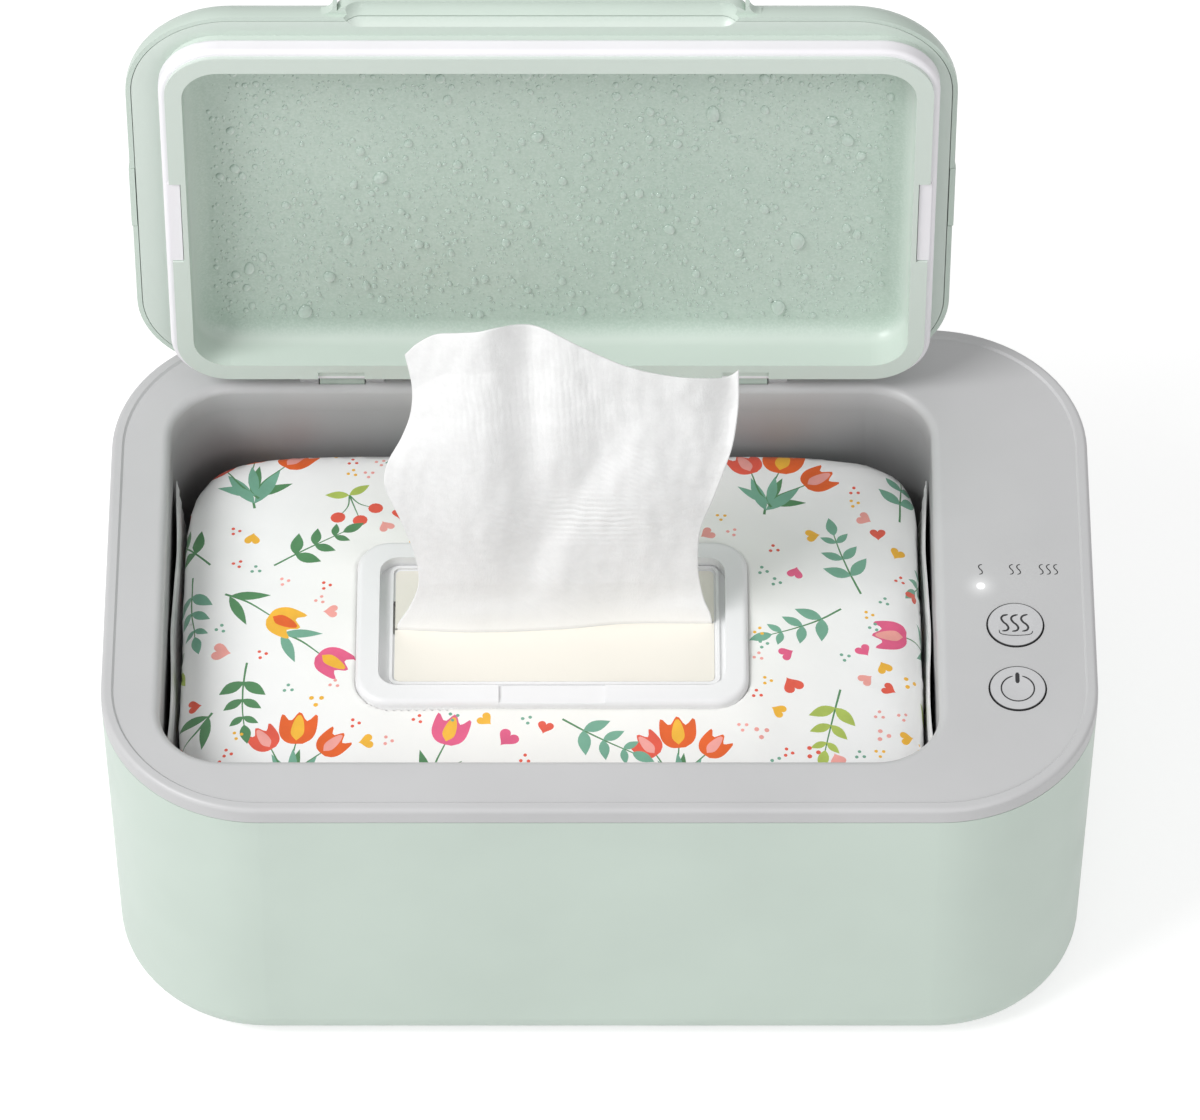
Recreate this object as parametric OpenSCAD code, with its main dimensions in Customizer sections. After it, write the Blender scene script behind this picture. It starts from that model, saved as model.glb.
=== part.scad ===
// Baby wipe warmer: a rounded tub with a heated chamber, a control panel on the right
// and a hinged lid that is drawn standing open. Millimetres. The origin is on the floor
// under the middle of the body, +Z is up and the front faces -Y.

/* [Body] */
// Width of the body
body_w = 260; // [250:1:280]
// Depth of the body
body_d = 167; // [162:1:185]
// Height of the deck surface above the floor
body_h = 100; // [94:1:120]
// Corner radius of the body seen from above
plan_r = 42; // [36:1:46]
// Draft of the side walls in degrees
body_draft = 1.25; // [0.5:0.25:2]
// Wall of the outer shell
wall = 2.5; // [2:0.1:3]
// Radius of the rounded edge at the bottom
bottom_r = 9; // [6:0.5:10]
// Height of the grey band of the deck that shows above the shell
band_h = 4.8; // [3.5:0.1:6]
// Shadow gap between the deck and the shell
band_gap = 0.25; // [0.1:0.05:0.5]

/* [Base] */
// How far the feet stand below the base
foot_proud = 1.5; // [1:0.1:3]
// Radius of a rubber foot
foot_r = 7; // [5:0.5:9]
// Distance of the feet from the body's sides
foot_side = 50; // [46:1:60]
// Distance of the feet from the body's front and back
foot_end = 39.5; // [36:0.5:47]
// Depth of the pocket that a foot is glued into
foot_pocket = 1.2; // [0.8:0.1:1.6]
// Thickness of the base cover
base_t = 2.8; // [2.4:0.1:3.2]
// Distance from the body's outline to the base cover
base_margin = 16.5; // [16:0.5:18]
// Width of the ledge that the base cover is drawn up against
base_ledge = 4; // [3:0.5:5]
// Number of cooling slots in each row of the base cover
vent_count = 9; // [5:1:11]
// Distance between cooling slots
vent_pitch = 7; // [6:0.5:8]
// Length of a cooling slot
vent_l = 18; // [12:1:22]
// Width of a cooling slot
vent_w = 2.6; // [2:0.1:3.2]

/* [Deck] */
// Thickness of the deck plate
deck_t = 2.5; // [2:0.1:3]
// Width of the deck left of the chamber's mouth
deck_left = 15.5; // [14:0.5:20]
// Width of the deck right of the chamber's mouth, which is the control panel
deck_right = 41.5; // [40:0.5:46]
// Width of the deck in front of the chamber's mouth
deck_front = 17.9; // [16:0.1:22]
// Width of the deck behind the chamber's mouth
deck_back = 21.1; // [20:0.1:25]
// Width of the raised rim round the deck
rim_w = 3.3; // [2.5:0.1:4]
// Height of the raised rim above the deck
rim_h = 0.6; // [0.3:0.1:0.8]
// Radius of the rim's outer edge
rim_edge_r = 1.2; // [0.8:0.1:1.6]
// Height of the locating skirt inside the shell
skirt_h = 7; // [5:0.5:9]
// Thickness of the locating skirt
skirt_t = 1.6; // [1.2:0.1:2]
// Length of a snap hook on the skirt
snap_l = 14; // [10:1:18]

/* [Chamber] */
// Width of the chamber's mouth
chamber_w = body_w - deck_left - deck_right;
// Depth of the chamber's mouth
chamber_d = body_d - deck_front - deck_back;
// Corner radius of the chamber
chamber_r = 17; // [14:1:20]
// Middle of the chamber along X
chamber_x = (deck_left - deck_right) / 2;
// Middle of the chamber along Y
chamber_y = (deck_front - deck_back) / 2;
// Height of the chamber's floor
chamber_z = 20; // [18:0.5:24]
// Draft of the chamber walls in degrees
chamber_draft = 1; // [0.5:0.25:1.5]
// Radius between the chamber's floor and walls
chamber_floor_r = 8; // [6:1:12]
// Radius of the soft edge round the chamber's mouth
mouth_r = 2.4; // [1.6:0.2:2.6]
// Wall of the chamber liner
liner_t = 2; // [1.6:0.1:2.4]
// Depth of the deck's lip, below which the liner starts
lip_h = 9; // [8:0.5:12]
// Width of the liner's flange outside its wall
flange_w = 6; // [5.5:0.1:6]
// Thickness of the liner's flange
flange_t = 2.4; // [2:0.1:3]

/* [Lid] */
// How far the lid reaches past the chamber's mouth on the left
lid_left = 8.5; // [7.5:0.5:10]
// How far the lid reaches past the chamber's mouth on the right
lid_right = 4.5; // [4:0.5:6]
// How far the lid reaches past the chamber's mouth at the front
lid_front = 4.5; // [4:0.5:7]
// Corner radius of the lid seen from above
lid_r = 28; // [22:1:30]
// Width of the lid
lid_w = chamber_w + lid_left + lid_right;
// Middle of the lid along X
lid_x = chamber_x + (lid_right - lid_left) / 2;
// Thickness of the lid
lid_t = 9; // [8.6:0.1:10]
// Wall of the lid's outer shell
lid_wall = 3; // [2.6:0.1:3.4]
// Width of the lid's thin edge outside the tray's flange
lid_lip = 1.3; // [1:0.1:1.5]
// Gap between the closed lid and the deck
lid_gap = 0.4; // [0.3:0.05:0.6]
// Radius of the lid's upper edge
lid_edge_r = 8; // [6:0.5:8]
// Width of the finger grip on the lid's front edge
grip_w = 107; // [90:1:120]
// How far the grip stands out from the lid
grip_out = 3.2; // [2:0.2:4]
// Thickness of the grip's ledge
grip_t = 4.6; // [3.6:0.2:5]
// Radius of the scoop under the grip
scoop_r = 6; // [5:0.5:7]
// Height of the scoop under the grip
scoop_h = 3; // [2.4:0.1:3.2]
// How far the lid's inner tray reaches below the lid's edge
tray_drop = 8.5; // [8:0.1:8.8]
// Corner radius of the tray
tray_r = 14; // [12:1:16]
// Width of the tray's flat lip on the left and right of its recess
tray_lip = 4.4; // [4:0.2:5]
// Width of the tray's flat lip on the grip's and the hinge's side of its recess
tray_lip_end = 5.4; // [4.6:0.2:6]
// Depth of the recess in the tray
recess_deep = 12.2; // [11:0.2:12.6]
// Radius between the recess's floor and walls
recess_r = 5; // [3:0.5:6]
// Wall of the tray
tray_t = 2; // [1.6:0.1:2.2]
// Width of a notch in the tray's hinge edge
notch_w = 12.4; // [10:0.2:14]
// Depth of a notch in the tray's hinge edge
notch_deep = 2.6; // [1.6:0.1:3]
// Length of the lug windows in the tray's sides
lug_l = 30; // [22:1:34]
// Depth of the lug windows in the tray's sides
lug_deep = 3; // [2:0.1:3]
// Height of the lug windows
lug_h = 2.6; // [2.2:0.1:3]
// How far the seal stands out from the tray
seal_proud = 1.7; // [1.4:0.1:2]
// Height of the seal's band
seal_h = 4.8; // [4:0.2:5.4]
// Distance of the seal from the tray's tip
seal_lift = 1.1; // [0.8:0.1:1.4]
// Length of the clips in the lid's sides
clip_l = 22; // [16:1:26]
// Height of the clips
clip_h = 3.6; // [3:0.1:4]
// Gap between the seal and the chamber's wall
seal_gap = 0.4; // [0.3:0.05:0.6]

/* [Hinge] */
// Distance of the hinge axis behind the chamber's mouth
hinge_behind = 5; // [4.6:0.1:5.4]
// Place of the hinge axis along Y
hinge_y = chamber_y + chamber_d / 2 + hinge_behind;
// Height of the hinge axis below the deck surface
hinge_down = 0.8; // [0.6:0.1:1]
// Distance from the hinge axis to the lid's back edge
hinge_set = 1.5; // [1.4:0.1:1.8]
// Angle at which the lid stands open in degrees
lid_open = 90; // [88:1:92]
// Distance of each hinge from the lid's middle
hinge_span = 54; // [48:1:60]
// Outer radius of the hinge knuckles
knuckle_r = 3.2; // [3:0.1:3.4]
// Width of the lid's knuckle
knuckle_w = 12; // [10:0.5:14]
// Width of each ear on the deck
ear_w = 5; // [4:0.5:6]
// Radius of the hinge pin
pin_r = 1.25; // [1:0.05:1.5]
// Radial clearance of the pin in the lid's knuckle
pin_play = 0.08; // [0.05:0.01:0.1]
// Gap between the lid's knuckle and the deck round it
knuckle_gap = 0.3; // [0.3:0.05:0.4]

/* [Controls] */
// Distance of the power button from the body's front
power_front = 41.4; // [39.5:0.1:44]
// Distance between the two buttons
button_pitch = 21.6; // [18:0.2:22]
// Radius of a button
button_r = 7.3; // [6.5:0.1:7.6]
// Gap round a button
button_gap = 0.35; // [0.3:0.05:0.5]
// Height of a button above the deck
button_proud = 0.3; // [0.2:0.1:0.6]
// Travel of a button
button_travel = 0.8; // [0.6:0.1:1]
// Distance of the lamps behind the heat button
lamp_behind = 13.5; // [12:0.5:15]
// Distance of the outer lamps from the board's sides
lamp_in = 1.5; // [1.5:0.5:4]
// Radius of a light guide
lamp_r = 1.4; // [1:0.1:1.8]
// Deck skin left over the light guides
lamp_skin = 0.6; // [0.5:0.1:1]
// Gap between the control board and the liner's flange
board_gap = 2; // [1:0.5:3]
// Distance of the control board from the body's right side
board_side = 7.5; // [7:0.5:9]
// Distance of the control board's middle beyond the buttons, along X
board_out = 1.5; // [1:0.25:2]
// Length of the control board
board_l = 64; // [63:0.5:66]
// Thickness of the control board
board_t = 1.6; // [1:0.2:1.6]
// Distance of the control board's top below the deck surface
board_down = 10; // [9.5:0.5:12]

/* [Heater] */
// Distance of the heater plate from the chamber's sides
plate_side = 26.5; // [22:0.5:40]
// Distance of the heater plate from the chamber's front and back
plate_end = 19; // [16:0.5:28]
// Thickness of the heater plate
plate_t = 1.2; // [1:0.1:1.6]
// Thickness of the heater film
film_t = 0.4; // [0.3:0.1:0.6]
// Thickness of the insulation pad
pad_t = 4; // [3:0.5:5]
// Thickness of the retainer that carries the heater
retainer_t = 1.5; // [1.2:0.1:2]
// Radius of the lead from the power socket
lead_r = 1.8; // [1.2:0.1:2]
// Distance of the power socket from the body's right side
socket_side = 52; // [50:1:70]
// Height of the power socket's axis
socket_z = 24; // [22:0.5:28]
// Radius of the power socket's mouth
socket_r = 3; // [2.6:0.1:3.2]
// Radius of the power socket's flange
socket_flange_r = 7; // [6:0.5:8]

/* [Contents] */
// Room between the wipes pack and the chamber's sides
pack_room_x = 4.5; // [3.5:0.5:10]
// Room between the wipes pack and the chamber's front and back
pack_room_y = 5; // [4.5:0.5:9]
// Height of the wipes pack
pack_h = 60; // [50:1:61]
// Width of the frame on the pack
flap_w = 103.6; // [96:0.2:108]
// Depth of the frame on the pack
flap_d = 56; // [50:0.5:60]
// Height of the frame on the pack
flap_h = 4.8; // [4:0.2:6]
// Width of the thumb notch in the frame's front
thumb_w = 28; // [20:1:34]
// Width of the wipe where it leaves the pack
wipe_w = 82; // [70:1:84]
// Height of the wipe above the pack
wipe_h = 101; // [80:1:110]
// Thickness of the wipe
wipe_t = 0.7; // [0.6:0.1:1]

/* [Hidden] */
$fn = 72;

// Overlap that keeps a cutter from ending on a face
cut = 1;
// Gap between pieces that are fitted together
fit_gap = 0.2;

// Colours
mint = [0.79, 0.85, 0.81];
mint_inner = [0.72, 0.81, 0.75];
grey = [0.80, 0.80, 0.81];
grey_dark = [0.66, 0.66, 0.67];
white = [0.95, 0.95, 0.94];
steel = [0.72, 0.73, 0.75];
rubber = [0.25, 0.26, 0.27];
copper = [0.78, 0.48, 0.25];
board_green = [0.10, 0.38, 0.25];

// Places in plan that follow the body and the chamber
foot_x = body_w / 2 - foot_side;
foot_y = body_d / 2 - foot_end;
board_x0 = chamber_x + chamber_w / 2 + liner_t + flange_w + board_gap;
board_w = body_w / 2 - board_side - board_x0;
board_x = board_x0 + board_w / 2;
panel_x = board_x - board_out;
lamp_pitch = board_w / 2 - board_out - lamp_in;
power_y = power_front - body_d / 2;
heat_y = power_y + button_pitch;
lamp_y = heat_y + lamp_behind;
socket_x = body_w / 2 - socket_side;
plate_w = chamber_w - 2 * plate_side;
plate_d = chamber_d - 2 * plate_end;
pack_w = chamber_w - 2 * pack_room_x;
pack_d = chamber_d - 2 * pack_room_y;

// Levels, from the floor upwards
shell_z0 = foot_proud;
shell_z1 = body_h + rim_h - band_h - band_gap;
deck_z0 = body_h - deck_t;
band_z0 = body_h + rim_h - band_h;
liner_z1 = body_h - lip_h;
ledge_z = shell_z0 + base_t;
shell_floor = ledge_z + wall;
lid_z0 = body_h + lid_gap;
lid_z1 = lid_z0 + lid_t;
tray_z0 = lid_z0 - tray_drop;
hinge_z = body_h - hinge_down;
plate_z0 = chamber_z - liner_t - plate_t;
film_z0 = plate_z0 - film_t;
pad_z0 = film_z0 - pad_t;
retainer_z0 = pad_z0 - retainer_t;
board_z1 = body_h - board_down;
board_z0 = board_z1 - board_t;

// Lid and tray in plan, with the lid closed
lid_y1 = hinge_y - hinge_set;
lid_d = lid_y1 - (chamber_y - chamber_d / 2 - lid_front);
lid_y = lid_y1 - lid_d / 2;
seal_w = chamber_w - 2 * seal_gap;
seal_d = chamber_d - 2 * seal_gap;
tray_w = seal_w - 2 * seal_proud;
tray_d = seal_d - 2 * seal_proud;
seal_r = tray_r + seal_proud;
tray_floor = tray_z0 + recess_deep;
seal_z0 = tray_z0 + seal_lift;

// Inner face of the deck's skirt, with a gap
skirt_in = wall + fit_gap + skirt_t + fit_gap;

// Screws
screw_r = 1.25;
screw_hole_r = 1.7;
head_r = 2.8;
head_h = 1.4;
boss_r = 4.2;
base_boss_h = 11;
base_boss_reach = plan_r - base_margin - 7.5;
base_screw_x = body_w / 2 - plan_r + base_boss_reach * cos(45);
base_screw_y = body_d / 2 - plan_r + base_boss_reach * sin(45);
liner_screw_out = flange_w / 2 + fit_gap;
liner_screw_in = 16.5;
liner_screw_x = chamber_w / 2 - liner_screw_in;
liner_boss_r = 2.9;
retainer_screw_x = plate_w / 2 + 6;
retainer_screw_y = plate_d / 2 - 12;
// How far a screw bites below the piece that it holds
screw_bite = 5;
board_bite = 4;
board_head_h = 1.2;
plate_r = 6;

// Inner face of the shell at its top, and a height's inset from the draft
function inset(z, z1, draft) = (z1 - z) * tan(draft);

// Closed block with a plan of w by d and corner radius r; the child is its section,
// drawn from a corner's centre outwards
module swept_block(w, d, r, z0, z1) {
    cx = w / 2 - r;
    cy = d / 2 - r;
    translate([-cx, -cy, z0])
        cube([2 * cx, 2 * cy, z1 - z0]);
    for (k = [0 : 3])
        translate([(k == 0 || k == 3) ? cx : -cx, k < 2 ? cy : -cy, 0])
            rotate([0, 0, 90 * k])
                rotate_extrude(angle = 90)
                    children();
    for (k = [0, 180])
        rotate([0, 0, k]) {
            translate([cx, cy, 0])
                rotate([90, 0, 0])
                    linear_extrude(2 * cy)
                        children();
            rotate([0, 0, 90])
                translate([cy, cx, 0])
                    rotate([90, 0, 0])
                        linear_extrude(2 * cx)
                            children();
        }
}

// Section of a wall that leans in towards its foot, with a round of radius f at the foot
module tub_section(r, z0, z1, draft, f) {
    cx = r - inset(z0 + f, z1, draft) - f / cos(draft);
    polygon([
        [0, z0],
        [cx, z0],
        [cx + f * cos(draft), z0 + f - f * sin(draft)],
        [r, z1],
        [0, z1]
    ]);
    translate([cx, z0 + f])
        quarter(f, -1);
}

// Quarter of a disc on the side of +X, above or below its centre
module quarter(f, up) {
    intersection() {
        circle(f);
        translate([0, up > 0 ? 0 : -f])
            square(f);
    }
}

// Tub with leaning walls and a rounded foot
module tub(w, d, r, z0, z1, draft, f) {
    swept_block(w, d, r, z0, z1)
        tub_section(r, z0, z1, draft, f);
}

// Upright prism with rounded corners
module prism(w, d, r, z0, z1) {
    swept_block(w, d, r, z0, z1)
        translate([0, z0])
            square([r, z1 - z0]);
}

// Upright prism whose upper edge is rounded with radius f
module rounded_top(w, d, r, z0, z1, f) {
    swept_block(w, d, r, z0, z1) {
        translate([0, z0])
            square([r, z1 - z0 - f]);
        translate([0, z0])
            square([r - f, z1 - z0]);
        translate([r - f, z1 - f])
            quarter(f, 1);
    }
}

// Cutter for a mouth with a soft upper edge of radius f at height z1
module mouth_cutter(w, d, r, z0, z1, f) {
    swept_block(w, d, r, z0, z1 + cut)
        difference() {
            union() {
                translate([0, z0])
                    square([r, z1 + cut - z0]);
                translate([0, z1 - f])
                    square([r + f, f + cut]);
            }
            translate([r + f, z1 - f])
                circle(f);
        }
}

// Straight peg or bore between two heights
module peg(r, z0, z1) {
    translate([0, 0, z0])
        cylinder(r = r, h = z1 - z0);
}

// Peg along X with its middle on the origin
module bar_x(r, l) {
    rotate([0, 90, 0])
        cylinder(r = r, h = l, center = true);
}

// Pan-head screw that points up, with its head's underside at height z
module screw_up(z, l) {
    peg(head_r, z - head_h, z);
    peg(screw_r, z, z + l);
}

module at_chamber() {
    translate([chamber_x, chamber_y, 0])
        children();
}

module at_base_screws() {
    for (sx = [-1, 1], sy = [-1, 1])
        translate([sx * base_screw_x, sy * base_screw_y, 0])
            children();
}

module at_feet() {
    for (sx = [-1, 1], sy = [-1, 1])
        translate([sx * foot_x, sy * foot_y, 0])
            children();
}

module at_liner_screws() {
    at_chamber()
        for (x = [-liner_screw_x, 0, liner_screw_x], s = [-1, 1])
            translate([x, s * (chamber_d / 2 + liner_t + liner_screw_out), 0])
                children();
}

module at_retainer_screws() {
    at_chamber()
        for (sx = [-1, 1], sy = [-1, 1])
            translate([sx * retainer_screw_x, sy * retainer_screw_y, 0])
                children();
}

module at_hinges() {
    for (s = [-1, 1])
        translate([lid_x + s * hinge_span, hinge_y, hinge_z])
            children();
}

// Turns what is drawn closed to where it stands open
module opened() {
    translate([0, hinge_y, hinge_z])
        rotate([-lid_open, 0, 0])
            translate([0, -hinge_y, -hinge_z])
                children();
}

// Places of the snap hooks: x, y and turn of each, on the inner face of the shell
snap_x = body_w / 2 - wall;
snap_y = body_d / 2 - wall;
snap_run = 52;
snap_places = [
    [-snap_run, -snap_y, -90], [snap_run, -snap_y, -90],
    [-snap_run, snap_y, 90], [snap_run, snap_y, 90],
    [-snap_x, 0, 180], [snap_x, 0, 0]
];
snap_z = liner_z1 - flange_t;
snap_head = 1.1;
snap_head_h = 3;

module at_snaps() {
    for (p = snap_places)
        translate([p[0], p[1], 0])
            rotate([0, 0, p[2]])
                children();
}

// Outer shell: the mint tub, open above for the deck and below for the base cover
module outer_shell() {
    inner_top = inset(shell_floor, shell_z1, body_draft);
    color(mint)
        difference() {
            union() {
                difference() {
                    tub(body_w, body_d, plan_r, shell_z0, shell_z1, body_draft, bottom_r);
                    tub(body_w - 2 * wall, body_d - 2 * wall, plan_r - wall,
                        shell_floor, shell_z1 + cut, body_draft, bottom_r - wall);
                    prism(body_w - 2 * (base_margin + base_ledge),
                          body_d - 2 * (base_margin + base_ledge),
                          plan_r - base_margin - base_ledge, shell_z0 - cut, shell_floor + cut);
                }
                at_base_screws()
                    peg(boss_r, ledge_z, ledge_z + base_boss_h);
                for (sx = [-1, 1], sy = [-1, 1])
                    translate([sx * base_screw_x, sy * base_screw_y, ledge_z])
                        rotate([0, 0, atan2(sy, sx)])
                            translate([boss_r - 1, -1.2, 0])
                                cube([plan_r - base_boss_reach - wall - inner_top - boss_r + 1,
                                      2.4, base_boss_h - 2]);
            }
            prism(body_w - 2 * base_margin, body_d - 2 * base_margin,
                  plan_r - base_margin, shell_z0 - cut, ledge_z);
            at_base_screws()
                peg(screw_r, ledge_z - cut, ledge_z + base_boss_h - 1);
            at_snaps()
                translate([-cut, -snap_l / 2 - fit_gap, snap_z - fit_gap])
                    cube([cut + snap_head + fit_gap, snap_l + 2 * fit_gap,
                          snap_head_h + 2 * fit_gap]);
            translate([socket_x, 0, socket_z])
                rotate([-90, 0, 0]) {
                    peg(socket_body_r + fit_gap, socket_face - socket_back, body_d / 2 + cut);
                    peg(socket_flange_r + fit_gap, socket_face - socket_sunk, body_d / 2 + cut);
                }
        }
}

// Base cover: plate with foot pockets, counterbored screw holes, ribs and cooling slots
module base_cover() {
    w = body_w - 2 * base_margin - 2 * fit_gap;
    d = body_d - 2 * base_margin - 2 * fit_gap;
    rib_h = 3;
    rib_t = 1.6;
    rib_end_x = 30;
    rib_end_y = 22;
    rib_off = 6;
    color(mint)
        difference() {
            union() {
                prism(w, d, plan_r - base_margin - fit_gap, shell_z0, ledge_z);
                for (s = [-1, 1])
                    translate([0, s * (foot_y - foot_r - rib_off), ledge_z + rib_h / 2])
                        cube([w - 2 * rib_end_x, rib_t, rib_h], center = true);
                for (s = [-1, 1])
                    translate([s * (foot_x - foot_r - 8), 0, ledge_z + rib_h / 2])
                        cube([rib_t, d - 2 * rib_end_y, rib_h], center = true);
            }
            at_feet()
                peg(foot_r + fit_gap, shell_z0 - cut, shell_z0 + foot_pocket);
            at_base_screws() {
                peg(screw_hole_r, shell_z0 - cut, ledge_z + cut);
                peg(head_r + 0.5, shell_z0 - cut, shell_z0 + head_h);
            }
            for (k = [0 : vent_count - 1], s = [-1, 1])
                translate([(k - (vent_count - 1) / 2) * vent_pitch, s * vent_l * 0.7, 0]) {
                    translate([-vent_w / 2, -vent_l / 2, shell_z0 - cut])
                        cube([vent_w, vent_l, base_t + 2 * cut]);
                    for (e = [-1, 1])
                        translate([0, e * vent_l / 2, 0])
                            peg(vent_w / 2, shell_z0 - cut, ledge_z + cut);
                }
        }
}

module base_screws() {
    color(steel)
        at_base_screws()
            screw_up(shell_z0 + head_h, base_t - head_h + base_boss_h - 2);
}

// Rubber feet with a rounded lower edge
module rubber_feet() {
    edge = 0.8;
    color(rubber)
        at_feet()
            rotate_extrude() {
                translate([0, edge])
                    square([foot_r, foot_proud + foot_pocket - edge]);
                square([foot_r - edge, foot_proud + foot_pocket]);
                translate([foot_r - edge, edge])
                    circle(edge);
            }
}

// Deck: grey top with a raised rim, the chamber's mouth, the panel and the hinge ears
module deck_frame() {
    skirt_out = wall + fit_gap;
    pocket_r = knuckle_r + knuckle_gap;
    color(grey)
        difference() {
            union() {
                deck_plate();
                // Skirt that locates the deck inside the shell
                difference() {
                    prism(body_w - 2 * skirt_out, body_d - 2 * skirt_out, plan_r - skirt_out,
                          deck_z0 - skirt_h, deck_z0 + fit_gap);
                    prism(body_w - 2 * (skirt_out + skirt_t), body_d - 2 * (skirt_out + skirt_t),
                          plan_r - skirt_out - skirt_t, deck_z0 - skirt_h - cut, deck_z0 + cut);
                }
                at_snaps()
                    snap_hook();
                // Lip round the chamber's mouth
                at_chamber()
                    prism(chamber_w + 2 * liner_t, chamber_d + 2 * liner_t,
                          chamber_r + liner_t, liner_z1, deck_z0 + fit_gap);
                at_liner_screws()
                    peg(liner_boss_r, liner_z1, deck_z0 + fit_gap);
                at_board_screws()
                    peg(board_boss_r, board_z1, deck_z0 + fit_gap);
                // Trough under each hinge and the two ears beside its knuckle
                at_hinges()
                    intersection() {
                        bar_x(pocket_r + 1.6, knuckle_w + 2 * (knuckle_gap + ear_w));
                        translate([0, 0, hinge_down - 10])
                            cube([body_w, 20, 20], center = true);
                    }
                at_hinges()
                    for (s = [-1, 1])
                        translate([s * ear_mid, 0, 0])
                            bar_x(knuckle_r, ear_w);
            }
            at_chamber()
                mouth_cutter(chamber_w, chamber_d, chamber_r, liner_z1 - cut, body_h, mouth_r);
            at_hinges() {
                bar_x(pocket_r, knuckle_w + 2 * knuckle_gap);
                bar_x(pin_r, knuckle_w + 2 * knuckle_gap + 2 * ear_w + cut);
            }
            at_liner_screws()
                peg(screw_r, liner_z1 - cut, deck_z0 - 0.5);
            at_board_screws()
                peg(board_pilot_r, board_z1 - cut, deck_z0 - 0.5);
            for (y = [heat_y, power_y])
                translate([panel_x, y, 0])
                    peg(button_r + button_gap, deck_z0 - cut, body_h + cut);
            at_lamps()
                peg(lamp_r + fit_gap / 2, deck_z0 - cut, body_h - lamp_skin);
        }
}

// Deck plate with its outer band and raised rim
module deck_plate() {
    difference() {
        rounded_top(body_w, body_d, plan_r, band_z0, body_h + rim_h, rim_edge_r);
        swept_block(body_w - 2 * rim_w, body_d - 2 * rim_w, plan_r - rim_w,
                    body_h, body_h + rim_h + cut)
            polygon([
                [0, body_h],
                [plan_r - rim_w, body_h],
                [plan_r - rim_w + rim_h, body_h + rim_h],
                [plan_r - rim_w + rim_h, body_h + rim_h + cut],
                [0, body_h + rim_h + cut]
            ]);
        prism(body_w - 2 * rim_w, body_d - 2 * rim_w, plan_r - rim_w, band_z0 - cut, deck_z0);
    }
}

// Centre of an ear, measured from the middle of its hinge
ear_mid = knuckle_w / 2 + knuckle_gap + ear_w / 2;

// Hook that springs into a pocket of the shell; +X points out through the wall
module snap_hook() {
    arm = fit_gap + skirt_t;
    translate([-arm, -snap_l / 2, snap_z])
        cube([arm - fit_gap, snap_l, deck_z0 - snap_z]);
    translate([-fit_gap - 0.2, snap_l / 2, snap_z])
        rotate([90, 0, 0])
            linear_extrude(snap_l)
                polygon([
                    [0, 0],
                    [snap_head, snap_head_h * 0.6],
                    [snap_head, snap_head_h],
                    [0, snap_head_h]
                ]);
}

// Chamber liner: the tub that holds the wipes, hung from the deck by its flange
module chamber_liner() {
    color(grey_dark)
        at_chamber()
            difference() {
                union() {
                    tub(chamber_w + 2 * liner_t, chamber_d + 2 * liner_t, chamber_r + liner_t,
                        chamber_z - liner_t, liner_z1, chamber_draft, chamber_floor_r + liner_t);
                    intersection() {
                        prism(chamber_w + 2 * (liner_t + flange_w),
                              chamber_d + 2 * (liner_t + flange_w),
                              chamber_r + liner_t + flange_w, liner_z1 - flange_t, liner_z1);
                        // Room for the deck's skirt
                        translate([-chamber_x, -chamber_y, 0])
                            prism(body_w - 2 * skirt_in, body_d - 2 * skirt_in, plan_r - skirt_in,
                                  liner_z1 - flange_t - cut, liner_z1 + cut);
                    }
                    for (sx = [-1, 1], sy = [-1, 1])
                        translate([sx * retainer_screw_x, sy * retainer_screw_y, 0])
                            peg(3, pad_z0, chamber_z - liner_t + fit_gap);
                }
                tub(chamber_w, chamber_d, chamber_r, chamber_z, liner_z1 + cut,
                    chamber_draft, chamber_floor_r);
                for (x = [-liner_screw_x, 0, liner_screw_x], s = [-1, 1])
                    translate([x, s * (chamber_d / 2 + liner_t + liner_screw_out), 0])
                        peg(screw_hole_r, liner_z1 - flange_t - cut, liner_z1 + cut);
                for (sx = [-1, 1], sy = [-1, 1])
                    translate([sx * retainer_screw_x, sy * retainer_screw_y, 0])
                        peg(screw_r, pad_z0 - cut, chamber_z - liner_t);
            }
}

module liner_screws() {
    color(steel)
        at_liner_screws()
            screw_up(liner_z1 - flange_t, flange_t + screw_bite);
}

// Aluminium plate that spreads the heat under the chamber's floor
module heater_plate() {
    color(steel)
        at_chamber()
            prism(plate_w, plate_d, plate_r, plate_z0, chamber_z - liner_t);
}

// Heating film with a tail for its lead, cut out round the sensor and the fuse
module heater_film() {
    color(copper)
        at_chamber()
            difference() {
                union() {
                    prism(plate_w, plate_d, plate_r, film_z0, plate_z0);
                    translate([plate_w / 2 - cut, lead_y - chamber_y - 5, film_z0])
                        cube([cut + film_tail, 10, film_t]);
                }
                translate([sensor_x, 0, 0])
                    peg(sensor_r + 1, film_z0 - cut, plate_z0 + cut);
                translate([-sensor_x, 0, film_z0 + film_t / 2])
                    cube([fuse_l + 2, 2 * fuse_r + 2, film_t + 2 * cut], center = true);
            }
}

film_tail = 9;
lead_y = chamber_y - retainer_screw_y + 14.6;
sensor_x = 40;
sensor_r = 2.5;
fuse_r = 2;
fuse_l = 12;

module insulation_pad() {
    color([0.85, 0.84, 0.80])
        at_chamber()
            difference() {
                prism(plate_w, plate_d, plate_r, pad_z0, film_z0);
                translate([sensor_x, 0, 0])
                    peg(sensor_r + 1, pad_z0 - cut, film_z0 + cut);
                translate([-sensor_x, 0, pad_z0 + pad_t / 2])
                    cube([fuse_l + 2, 2 * fuse_r + 2, pad_t + 2 * cut], center = true);
            }
}

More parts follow.
